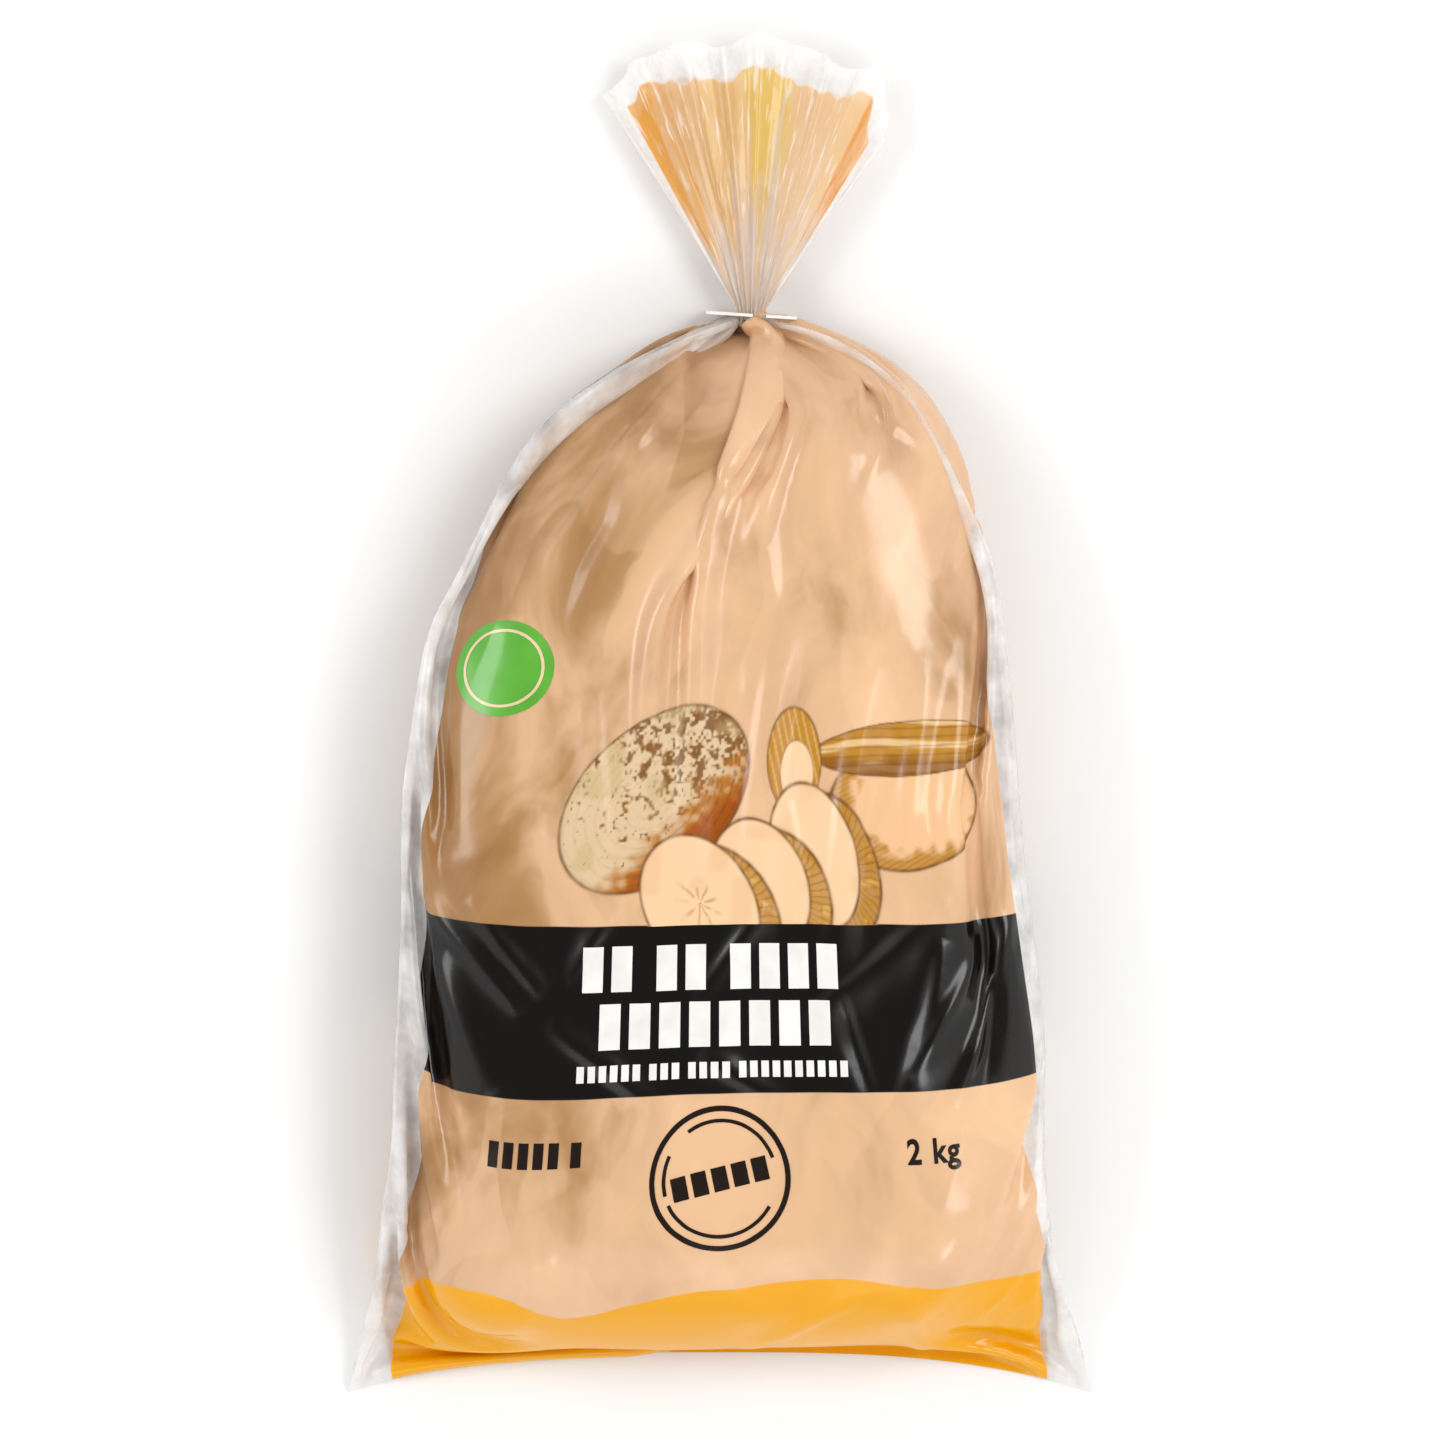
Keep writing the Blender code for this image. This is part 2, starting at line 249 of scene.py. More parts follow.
@dataclass(frozen=True)
class FilmGloss:
    """The surface that film and ink share: glossy, a little hazy, with soft handling creases."""

    pull: Pull = Pull()
    roughness: float = 0.2
    crease_size: float = 30.0
    crease_depth: float = 1.7
    streak_size: float = 8.0
    streak_depth: float = 0.28
    patch_size: float = 70.0  # creases come and go over this distance
    wrinkle_size: float = 5.0
    wrinkle_depth: float = 0.05
    pucker_pitch: float = 3.4
    pucker_depth: float = 0.35
    pucker_start: float = 118.0  # distance from the panel's middle line
    pucker_fade: float = 8.0
    gather_size: float = 13.0
    gather_depth: float = 0.8

    def dress(
        self,
        tree: bpy.types.NodeTree,
        shader: bpy.types.Node,
        uv: bpy.types.NodeSocket,
        gather: bpy.types.NodeSocket | None = None,
    ) -> None:
        """Gives a shader the film's gloss and creases.

        Args:
            tree: the material's node tree.
            shader: its Principled BSDF.
            uv: the place in the flat sheet, in metres.
            gather: how much the film is gathered, from 0 to 1, where it is.
        """
        shader.inputs["Roughness"].default_value = self.roughness
        shader.inputs["IOR"].default_value = 1.5
        split = node(tree, "SeparateXYZ", links={0: uv})
        side = node(tree, "Math", {"operation": "ABSOLUTE"}, {0: split.outputs["X"]}).outputs[0]
        middle = (self.pull.middle * MM) ** 2
        wide = node(tree, "Math", {"operation": "MULTIPLY_ADD", 2: middle}, {0: side, 1: side})
        round_side = node(tree, "Math", {"operation": "SQRT"}, {0: wide.outputs[0]})
        turn = self.pull.turn * MM
        height = node(tree, "Math", {"operation": "SUBTRACT", 1: turn}, {0: split.outputs["Y"]})
        square = node(tree, "Math", {"operation": "POWER", 1: 2.0}, {0: height.outputs[0]})
        across = node(
            tree,
            "Math",
            {"operation": "MULTIPLY_ADD", 1: self.pull.bend / MM},
            {0: square.outputs[0], 2: round_side.outputs[0]},
        )
        along = node(tree, "Math", {"operation": "MULTIPLY", 1: 0.25}, {0: split.outputs["Y"]})
        drawn = node(tree, "CombineXYZ", links={"X": across.outputs[0], "Y": along.outputs[0]}).outputs[0]
        ridged = {"noise_type": "RIDGED_MULTIFRACTAL", "Roughness": 0.4}
        crease = node(
            tree, "TexNoise", {**ridged, "Scale": every(self.crease_size), "Detail": 1.2}, {"Vector": drawn}
        )
        streak = node(
            tree, "TexNoise", {**ridged, "Scale": every(self.streak_size), "Detail": 1.0}, {"Vector": drawn}
        )
        patches = node(tree, "TexNoise", {"Scale": every(self.patch_size), "Detail": 1.0}, {"Vector": uv})
        patch = node(
            tree,
            "MapRange",
            {"From Min": 0.42, "From Max": 0.6, "To Min": 0.1, "To Max": 1.0},
            {"Value": patches.outputs[0]},
        ).outputs[0]
        high = node(tree, "Math", {"operation": "MULTIPLY"}, {0: crease.outputs[0], 1: patch})
        big = node(tree, "Bump", {"Distance": self.crease_depth * MM}, {"Height": high.outputs[0]})
        narrow = node(tree, "Math", {"operation": "MULTIPLY"}, {0: streak.outputs[0], 1: patch})
        thin = node(
            tree,
            "Bump",
            {"Distance": self.streak_depth * MM},
            {"Height": narrow.outputs[0], "Normal": big.outputs[0]},
        )
        wrinkle = node(tree, "TexNoise", {"Scale": every(self.wrinkle_size), "Detail": 3.0}, {"Vector": uv})
        small = node(
            tree,
            "Bump",
            {"Distance": self.wrinkle_depth * MM},
            {"Height": wrinkle.outputs[0], "Normal": thin.outputs[0]},
        )
        margin = node(
            tree,
            "MapRange",
            {"From Min": self.pucker_start * MM, "From Max": (self.pucker_start + self.pucker_fade) * MM},
            {"Value": side},
        )
        ripple = node(
            tree,
            "TexWave",
            {
                "bands_direction": "Y",
                "Scale": every(self.pucker_pitch) / WAVES_PER_UNIT,
                "Distortion": 5.0,
                "Detail": 2.0,
            },
            {"Vector": uv},
        )
        pucker = node(
            tree, "Math", {"operation": "MULTIPLY"}, {0: ripple.outputs["Fac"], 1: margin.outputs[0]}
        )
        last = node(
            tree,
            "Bump",
            {"Distance": self.pucker_depth * MM},
            {"Height": pucker.outputs[0], "Normal": small.outputs[0]},
        )
        if gather is not None:
            radial = node(tree, "Mapping", {"Scale": (1, 0.16, 1)}, {"Vector": uv})
            pleat = node(
                tree,
                "TexNoise",
                {**ridged, "Scale": every(self.gather_size), "Detail": 2.0, "Roughness": 0.5},
                {"Vector": radial.outputs[0]},
            )
            pleated = node(tree, "Math", {"operation": "MULTIPLY"}, {0: pleat.outputs[0], 1: gather})
            last = node(
                tree,
                "Bump",
                {"Distance": self.gather_depth * MM},
                {"Height": pleated.outputs[0], "Normal": last.outputs[0]},
            )
        tree.links.new(last.outputs[0], shader.inputs["Normal"])


@dataclass(frozen=True)
class PrintedFilm:
    """Low-density polyethylene, blown into a tube and printed by flexography.

    Clear where it is bare, so what lies behind shows, and a warm, slightly see-through skin
    with uneven ink where it is printed. Painted shade darkens its tone towards the left side,
    painted light lifts it towards the bottom, and painted glints streak the fan.
    with uneven ink where it is printed.
    """

    neck: float  # distance from the bottom seal to the neck, along the film
    gloss: FilmGloss = FilmGloss()
    half_print: float = 123.0
    stripe_low: float = 47.0
    stripe_rise: float = 30.0  # the stripe's wavy edge lies between low and low plus rise
    stripe_wave: Table = (
        (0.0, 0.1), (0.08, 0.7), (0.17, 1.0), (0.23, 0.75), (0.28, 0.2), (0.36, 0.38),
        (0.47, 0.62), (0.61, 0.72), (0.756, 0.72), (0.88, 0.5), (1.0, 0.35),
    )
    band: tuple[float, float] = (135.3, 193.8)
    rim_margin: float = 22.0  # before the print's uneven end, 0 to 20 mm nearer the rim
    fray_size: float = 24.0
    fray_depth: float = 20.0
    fray_edge: float = 1.5
    edge: float = 0.35
    peach: tuple[tuple[float, str], ...] = (
        (0.24, "9C7042"), (0.35, "B2875A"), (0.46, "DAB088"), (0.56, "E6BA91"), (0.72, "F4C89C"),
    )
    orange: str = "F0A800"
    black: str = "0E0A08"
    fan: tuple[tuple[float, str], ...] = (
        (0.0, "E69C00"), (0.1, "E89E10"), (0.15, "E2AE70"), (0.22, "E7BB88"), (0.3, "DCA64E"),
        (0.4, "E9BC78"), (0.47, "EDC182"), (0.53, "EBBE44"), (0.6, "EDC468"), (0.68, "EDC18E"),
        (0.8, "F0C898"), (0.9, "F1C790"), (1.0, "EC9C38"),
    )
    gathered: str = "EADDD2"
    # colour of the painted glints on the fan
    glint: str = "FFF4E4"
    bare: str = "FBF9F7"
    bare_cover: float = 0.5
    print_cover: float = 0.985
    back_cover: float = 0.8
    fan_cover: float = 0.76
    pale_start: tuple[float, float] = (20.0, 60.0)  # above the neck, from pale to full ink
    gather_start: tuple[float, float] = (60.0, 5.0)  # below the neck, from smooth to pleated
    cloud_size: float = 48.0
    contact_size: float = 34.0
    ray_size: float = 19.0
    glint_size: float = 4.0
    haze_size: float = 16.0

    def ground(
        self,
        tree: bpy.types.NodeTree,
        uv: bpy.types.NodeSocket,
        across: bpy.types.NodeSocket,
        along: bpy.types.NodeSocket,
    ) -> bpy.types.NodeSocket:
        """Colours below the neck: clouded peach, a wavy orange foot and a black band.

        The ink is uneven in patches a few centimetres wide, longer along the bag. Where the
        film lies close on a potato its tone steps up a little. Painted shade also darkens the
        tone towards the left side, and painted light lifts it towards the bottom.

        Args:
            tree: the material's node tree.
            uv: the place in the flat sheet, in metres.
            across: its first part.
            along: its second part.

        Returns:
            The colour.
        """
        tall = node(tree, "Mapping", {"Scale": (1, 0.6, 1)}, {"Vector": uv}).outputs[0]
        clouds = node(
            tree,
            "TexNoise",
            {"Scale": every(self.cloud_size), "Detail": 4.0, "Roughness": 0.55, "Distortion": 0.6},
            {"Vector": tall},
        )
        # painted shade: the tone falls towards the left side, away from the key light
        lean = node(
            tree,
            "MapRange",
            {"From Min": -0.105, "From Max": -0.015, "To Min": -0.19, "To Max": 0.012},
            {"Value": across},
        )
        # painted light: the tone steps up towards the bottom of the bag
        foot = node(
            tree,
            "MapRange",
            {"From Min": 0.06, "From Max": 0.2, "To Min": 0.07, "To Max": 0.0},
            {"Value": along},
        )
        contact = node(
            tree,
            "TexNoise",
            {"Scale": every(self.contact_size), "Detail": 1.5, "Distortion": 1.0},
            {"Vector": tall},
        )
        touch = node(
            tree,
            "MapRange",
            {"From Min": 0.5, "From Max": 0.54, "To Min": -0.015, "To Max": 0.025},
            {"Value": contact.outputs["Fac"]},
        )
        cloud = node(tree, "MapRange", {"To Min": 0.16, "To Max": 0.84}, {"Value": clouds.outputs["Fac"]})
        leaning = node(tree, "Math", {"operation": "ADD"}, {0: cloud.outputs[0], 1: lean.outputs[0]})
        lifted = node(tree, "Math", {"operation": "ADD"}, {0: foot.outputs[0], 1: touch.outputs[0]})
        tone = node(tree, "Math", {"operation": "ADD"}, {0: leaning.outputs[0], 1: lifted.outputs[0]})
        tint = node(tree, "ValToRGB", {"stops": self.peach}, {0: tone.outputs[0]})
        half, edge = self.half_print * MM, self.edge * MM
        spread = node(tree, "MapRange", {"From Min": -half, "From Max": half}, {"Value": across})
        # a grey of brightness share ^ (1 / 2.2) turns back to about share in linear terms
        greys = ((place, round(255 * share ** (1 / 2.2))) for place, share in self.stripe_wave)
        stops = tuple((place, f"{grey:02X}" * 3) for place, grey in greys)
        wave = node(tree, "ValToRGB", {"stops": stops}, {0: spread.outputs[0]})
        wave.color_ramp.interpolation = "B_SPLINE"
        most = self.stripe_rise * MM
        rise = node(tree, "Math", {"operation": "MULTIPLY", 1: most}, {0: wave.outputs["Color"]})
        waved = node(tree, "Math", {"operation": "SUBTRACT"}, {0: along, 1: rise.outputs[0]})
        low = self.stripe_low * MM
        above = node(tree, "MapRange", {"From Min": low, "From Max": low + edge}, {"Value": waved.outputs[0]})
        footed = node(
            tree,
            "Mix",
            {"data_type": "RGBA", 6: linear(self.orange)},
            {0: above.outputs[0], 7: tint.outputs["Color"]},
        )
        start, end = (place * MM for place in self.band)
        over = node(tree, "MapRange", {"From Min": start, "From Max": start + edge}, {"Value": along})
        under = node(
            tree,
            "MapRange",
            {"From Min": end, "From Max": end + edge, "To Min": 1.0, "To Max": 0.0},
            {"Value": along},
        )
        band = node(tree, "Math", {"operation": "MULTIPLY"}, {0: over.outputs[0], 1: under.outputs[0]})
        banded = node(
            tree,
            "Mix",
            {"data_type": "RGBA", 7: linear(self.black)},
            {0: band.outputs[0], 6: footed.outputs[2]},
        )
        return banded.outputs[2]

    def material(self, panel: Panel) -> bpy.types.Material:
        """Makes one panel's material.

        Args:
            panel: front or back; the back is printed more thinly.

        Returns:
            The material, which reads the maps flat_sheet and from_rim.
        """
        material, tree, shader = new_material("printed_polyethylene_" + panel.value)
        uv = node(tree, "UVMap", {"uv_map": "flat_sheet"}).outputs[0]
        rim = node(tree, "SeparateXYZ", links={0: node(tree, "UVMap", {"uv_map": "from_rim"}).outputs[0]})
        split = node(tree, "SeparateXYZ", links={0: uv})
        across, along = split.outputs["X"], split.outputs["Y"]
        ground = self.ground(tree, uv, across, along)
        # the fan's colours lie in rays, with a pale, thinly inked start above the neck, and painted glints
        half, neck, edge = self.half_print * MM, self.neck * MM, self.edge * MM
        radial = node(tree, "Mapping", {"Scale": (1, 0.24, 1)}, {"Vector": uv}).outputs[0]
        rays = node(
            tree,
            "TexNoise",
            {"Scale": every(self.ray_size), "Detail": 3.0, "Roughness": 0.55},
            {"Vector": radial},
        ).outputs["Fac"]
        jitter = node(tree, "MapRange", {"To Min": -0.25, "To Max": 0.25}, {"Value": rays}).outputs[0]
        spread = node(tree, "MapRange", {"From Min": -half, "From Max": half}, {"Value": across})
        place = node(tree, "Math", {"operation": "ADD"}, {0: spread.outputs[0], 1: jitter})
        leaf = node(tree, "ValToRGB", {"stops": self.fan}, {0: place.outputs[0]})
        ragged = node(tree, "Math", {"operation": "MULTIPLY_ADD", 1: 0.35}, {0: jitter, 2: along})
        start, end = (neck + reach * MM for reach in self.pale_start)
        pale = node(
            tree, "MapRange", {"From Min": start, "From Max": end}, {"Value": ragged.outputs[0]}
        ).outputs[0]
        rayed = node(
            tree, "Mix", {"data_type": "RGBA", 6: linear(self.gathered)}, {0: pale, 7: leaf.outputs["Color"]}
        )
        # painted glints: near-white streaks mixed into the fan's colour by noise, in place of highlights on
        # its pleats
        glint_noise = node(tree, "TexNoise", {"Scale": every(self.glint_size), "Detail": 2.0}, {"Vector": radial})
        glint_share = node(
            tree,
            "MapRange",
            {"From Min": 0.58, "From Max": 0.7, "To Min": 0.0, "To Max": 0.75},
            {"Value": glint_noise.outputs["Fac"]},
        )
        glinted = node(
            tree,
            "Mix",
            {"data_type": "RGBA", 7: linear(self.glint)},
            {0: glint_share.outputs[0], 6: rayed.outputs[2]},
        )
        in_fan = node(
            tree, "MapRange", {"From Min": neck - MM, "From Max": neck + MM}, {"Value": along}
        ).outputs[0]
        inked = node(tree, "Mix", {"data_type": "RGBA"}, {0: in_fan, 6: ground, 7: glinted.outputs[2]})
        # where there is ink, and how well it covers
        side = node(tree, "Math", {"operation": "ABSOLUTE"}, {0: across})
        inside = node(
            tree,
            "MapRange",
            {"From Min": half, "From Max": half + edge, "To Min": 1.0, "To Max": 0.0},
            {"Value": side.outputs[0]},
        )
        uneven = node(tree, "TexNoise", {"Scale": every(self.fray_size), "Detail": 1.0}, {"Vector": uv})
        frayed = node(
            tree,
            "Math",
            {"operation": "MULTIPLY_ADD", 1: self.fray_depth * MM},
            {0: uneven.outputs["Fac"], 2: rim.outputs["Y"]},
        )
        start = self.rim_margin * MM
        end = start + self.fray_edge * MM
        below = node(tree, "MapRange", {"From Min": start, "From Max": end}, {"Value": frayed.outputs[0]})
        printed = node(
            tree, "Math", {"operation": "MULTIPLY"}, {0: inside.outputs[0], 1: below.outputs[0]}
        ).outputs[0]
        colour = node(
            tree, "Mix", {"data_type": "RGBA", 6: linear(self.bare)}, {0: printed, 7: inked.outputs[2]}
        )
        tree.links.new(colour.outputs[2], shader.inputs["Base Color"])
        cover = self.print_cover if panel is Panel.FRONT else self.back_cover
        thin = node(
            tree,
            "MapRange",
            {"To Min": self.fan_cover * 0.75 * cover, "To Max": self.fan_cover * cover},
            {"Value": pale},
        )
        inky = node(tree, "Mix", {2: cover}, {0: in_fan, 3: thin.outputs[0]})
        haze = node(tree, "TexNoise", {"Scale": every(self.haze_size), "Detail": 3.0}, {"Vector": uv})
        clear = node(
            tree,
            "MapRange",
            {
                "From Min": 0.3,
                "From Max": 0.7,
                "To Min": self.bare_cover * 0.6,
                "To Max": self.bare_cover * 1.5,
            },
            {"Value": haze.outputs["Fac"]},
        )
        covers = node(tree, "Mix", links={0: printed, 2: clear.outputs[0], 3: inky.outputs[0]})
        tree.links.new(covers.outputs[0], shader.inputs["Alpha"])
        start, end = (neck - reach * MM for reach in self.gather_start)
        gather = node(tree, "MapRange", {"From Min": start, "From Max": end}, {"Value": along})
        self.gloss.dress(tree, shader, uv, gather.outputs[0])
        return material


@dataclass(frozen=True)
class FlexoInk:
    """A solid flexographic ink on the film: flat colour with the film's own gloss."""

    name: str
    colour: str
    gloss: FilmGloss = FilmGloss()

    def material(self) -> bpy.types.Material:
        """Makes the ink's material, a touch thinner in places.

        Returns:
            The material.
        """
        material, tree, shader = new_material(self.name)
        uv = node(tree, "UVMap", {"uv_map": "flat_sheet"}).outputs[0]
        thin = node(tree, "TexNoise", {"Scale": every(11), "Detail": 2.0}, {"Vector": uv})
        value = node(tree, "MapRange", {"To Min": 0.8, "To Max": 1.15}, {"Value": thin.outputs["Fac"]})
        shade = node(tree, "HueSaturation", {"Color": linear(self.colour)}, {"Value": value.outputs[0]})
        tree.links.new(shade.outputs[0], shader.inputs["Base Color"])
        self.gloss.dress(tree, shader, uv)
        return material


@dataclass(frozen=True)
class DrawingInk:
    """The drawing's halftone inks, read from each point's own colour and cover."""

    gloss: FilmGloss = FilmGloss()

    def material(self) -> bpy.types.Material:
        """Makes the drawing's material, which reads the attribute ink.

        Returns:
            The material.
        """
        material, tree, shader = new_material("halftone_drawing_ink")
        uv = node(tree, "UVMap", {"uv_map": "flat_sheet"}).outputs[0]
        ink = node(tree, "Attribute", {"attribute_name": "ink"})
        tree.links.new(ink.outputs["Color"], shader.inputs["Base Color"])
        tree.links.new(ink.outputs["Alpha"], shader.inputs["Alpha"])
        self.gloss.dress(tree, shader, uv)
        return material


@dataclass(frozen=True)
class PotatoSkin:
    """Washed potato skin: thin, matt and papery, tan with darker clouds, pores and scuffs."""

    tones: tuple[tuple[float, str], ...] = ((0.3, "9A6B3C"), (0.5, "BE915A"), (0.7, "D6B27C"))
    pore: str = "6B4522"

    def material(self) -> bpy.types.Material:
        """Makes the skin's material on object coordinates in metres.

        Returns:
            The material.
        """
        material, tree, shader = new_material("washed_potato_skin")
        place = node(tree, "TexCoord").outputs["Object"]
        clouds = node(
            tree, "TexNoise", {"Scale": every(22), "Detail": 6.0, "Roughness": 0.6}, {"Vector": place}
        )
        tone = node(tree, "ValToRGB", {"stops": self.tones}, {0: clouds.outputs["Fac"]})
        pores = node(tree, "TexVoronoi", {"Scale": every(4.5)}, {"Vector": place})
        spot = node(
            tree,
            "MapRange",
            {"From Min": 0.1, "From Max": 0.22, "To Min": 0.75, "To Max": 0.0},
            {"Value": pores.outputs["Distance"]},
        )
        colour = node(
            tree,
            "Mix",
            {"data_type": "RGBA", 7: linear(self.pore)},
            {0: spot.outputs[0], 6: tone.outputs["Color"]},
        )
        tree.links.new(colour.outputs[2], shader.inputs["Base Color"])
        shader.inputs["Roughness"].default_value = 0.72
        shader.inputs["Subsurface Weight"].default_value = 0.08
        shader.inputs["Subsurface Radius"].default_value = (0.004, 0.002, 0.001)
        rough = node(tree, "TexNoise", {"Scale": every(1.6), "Detail": 4.0}, {"Vector": place})
        bump = node(tree, "Bump", {"Strength": 0.5, "Distance": 0.25 * MM}, {"Height": rough.outputs["Fac"]})
        tree.links.new(bump.outputs[0], shader.inputs["Normal"])
        return material


@dataclass(frozen=True)
class MouldedTag:
    """High-impact polystyrene, injection moulded: milky white with a faint orange-peel gloss."""

    colour: str = "F3EFE9"

    def material(self) -> bpy.types.Material:
        """Makes the tag's material on object coordinates in metres.

        Returns:
            The material.
        """
        material, tree, shader = new_material("moulded_white_polystyrene")
        place = node(tree, "TexCoord").outputs["Object"]
        cloud = node(tree, "TexNoise", {"Scale": every(9), "Detail": 2.0}, {"Vector": place})
        value = node(tree, "MapRange", {"To Min": 0.94, "To Max": 1.04}, {"Value": cloud.outputs["Fac"]})
        shade = node(tree, "HueSaturation", {"Color": linear(self.colour)}, {"Value": value.outputs[0]})
        tree.links.new(shade.outputs[0], shader.inputs["Base Color"])
        shader.inputs["Roughness"].default_value = 0.36
        peel = node(tree, "TexNoise", {"Scale": every(0.8), "Detail": 1.0}, {"Vector": place})
        bump = node(tree, "Bump", {"Strength": 0.4, "Distance": 0.03 * MM}, {"Height": peel.outputs["Fac"]})
        tree.links.new(bump.outputs[0], shader.inputs["Normal"])
        return material


# ------------------------------------------------------------------ potatoes


@dataclass(frozen=True)
class Tuber:
    """A potato's place and size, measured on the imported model.

    Attributes:
        name: the CAD node's name.
        centre: middle of the potato.
        axes: unit vectors along its length, width and height, one to a row.
        radii: half its length, width and height.
    """

    name: str
    centre: Array
    axes: Array
    radii: Array

    @classmethod
    def measured(cls, name: str, cad: bpy.types.Object) -> Tuber:
        """Measures a CAD node.

        The long axis is the direction in which the points spread the most, seen from above.

        Args:
            name: the node's name.
            cad: the node's object.

        Returns:
            The potato's place and size.
        """
        points = np.empty(len(cad.data.vertices) * 3, np.float32)
        cad.data.vertices.foreach_get("co", points)
        points = points.reshape(-1, 3).astype(float) / MM
        points = np.unique(points.round(3), axis=0)
        spread, directions = np.linalg.eigh(np.cov(points[:, :2].T))
        along = directions[:, np.argmax(spread)]
        along = along * (1 if along[0] >= 0 else -1)
        axes = np.array([[along[0], along[1], 0], [-along[1], along[0], 0], [0, 0, 1]])
        turned = points @ axes.T
        low, high = turned.min(0), turned.max(0)
        return cls(name, ((low + high) / 2) @ axes, axes, (high - low) / 2)


@dataclass
class Potatoes:
    """The potatoes inside the bag, with their eyes and uneven skin."""

    tubers: list[Tuber]
    parallels: int = 44
    meridians: int = 60
    shrink: float = 0.975  # keeps the skin inside the film
    eyes: int = 9
    eye_depth: float = 1.3
    eye_width: float = 0.13  # share of the potato's radius

    def shape(self, tuber: Tuber, seed: int) -> Array:
        """Points of one potato.

        An ellipsoid whose radius varies with a few slow waves, dented at each eye by a narrow
        bell curve with a low brow above it.

        Args:
            tuber: its place and size.
            seed: picks the waves and the eyes.

        Returns:
            The points, belt by belt, then the two tips.
        """
        random = np.random.default_rng(seed + 100)
        along = np.linspace(0, math.pi, self.parallels + 1)[1:-1]
        around = np.arange(self.meridians) * 2 * math.pi / self.meridians
        a, b = np.meshgrid(along, around, indexing="ij")
        unit = np.stack([-np.cos(a), np.sin(a) * np.cos(b), np.sin(a) * np.sin(b)], -1).reshape(-1, 3)
        unit = np.vstack([unit, [[-1, 0, 0], [1, 0, 0]]])
        swell = np.zeros(len(unit))
        for waves in (1.7, 2.6, 4.1, 6.3):
            axis = random.normal(size=3)
            axis *= waves / np.linalg.norm(axis)
            swell += 0.016 * np.sin(unit @ axis + random.uniform(0, 6.28)) / waves**0.5
        dent = np.zeros(len(unit))
        for _ in range(self.eyes):
            eye = random.normal(size=3)
            eye /= np.linalg.norm(eye)
            brow = eye + np.array([0.16, 0, 0]) * math.copysign(1, eye[0])
            brow /= np.linalg.norm(brow)
            width = self.eye_width * random.uniform(0.7, 1.3)
            near = ((unit - eye) ** 2).sum(1)
            over = ((unit - brow) ** 2).sum(1)
            dent += -np.exp(-near / width**2) + 0.4 * np.exp(-over / (1.2 * width) ** 2)
        local = unit * (tuber.radii * self.shrink) * (1 + swell)[:, None]
        local += unit * (dent * self.eye_depth)[:, None]
        return tuber.centre + local @ tuber.axes

    def build(self, skin: bpy.types.Material) -> list[bpy.types.Object]:
        """Builds every potato in place of its CAD node.

        Args:
            skin: the potatoes' material.

        Returns:
            The potatoes' objects.
        """
        belts, around = self.parallels - 1, self.meridians
        quads = grid_faces(belts, around, closed=True).tolist()
        first, last = belts * around, belts * around + 1
        ring = np.arange(around)
        tips = np.stack([np.full(around, first), (ring + 1) % around, ring], 1).tolist()
        end = (belts - 1) * around
        tips += np.stack([np.full(around, last), end + ring, end + (ring + 1) % around], 1).tolist()
        faces = quads + tips
        made = []
        for seed, tuber in enumerate(self.tubers):
            piece = put_mesh(tuber.name + "_skin", self.shape(tuber, seed), faces, skin)
            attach(piece, "root")
            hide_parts(tuber.name)
            made.append(piece)
        LOG.info("potatoes: %d, each %d faces", len(made), len(faces))
        return made


# ------------------------------------------------------------------ film


@dataclass
class NeckPlace:
    """Where the film is gathered."""

    x: float
    y: float
    z: float
    radius: float = 5.9
    grip: float = 2.2  # half the straight stretch inside the tag
    folds: int = 22
    fold_depth: float = 1.5

    def ring(self, turn: Array, along: float) -> Array:
        """Points of one ring of the gathered film.

        The radius goes in and out once for each fold: radius - depth (1 + cos(folds turn)) / 2.

        Args:
            turn: angles, 0 at the bag's right side and a quarter turn at its front.
            along: the ring's y.

        Returns:
            One point for each angle.
        """
        reach = self.radius - self.fold_depth * (0.5 + 0.5 * np.cos(self.folds * turn))
        x, z = self.x + reach * np.cos(turn), self.z + reach * np.sin(turn)
        return np.stack([x, np.full_like(turn, along), z], -1)


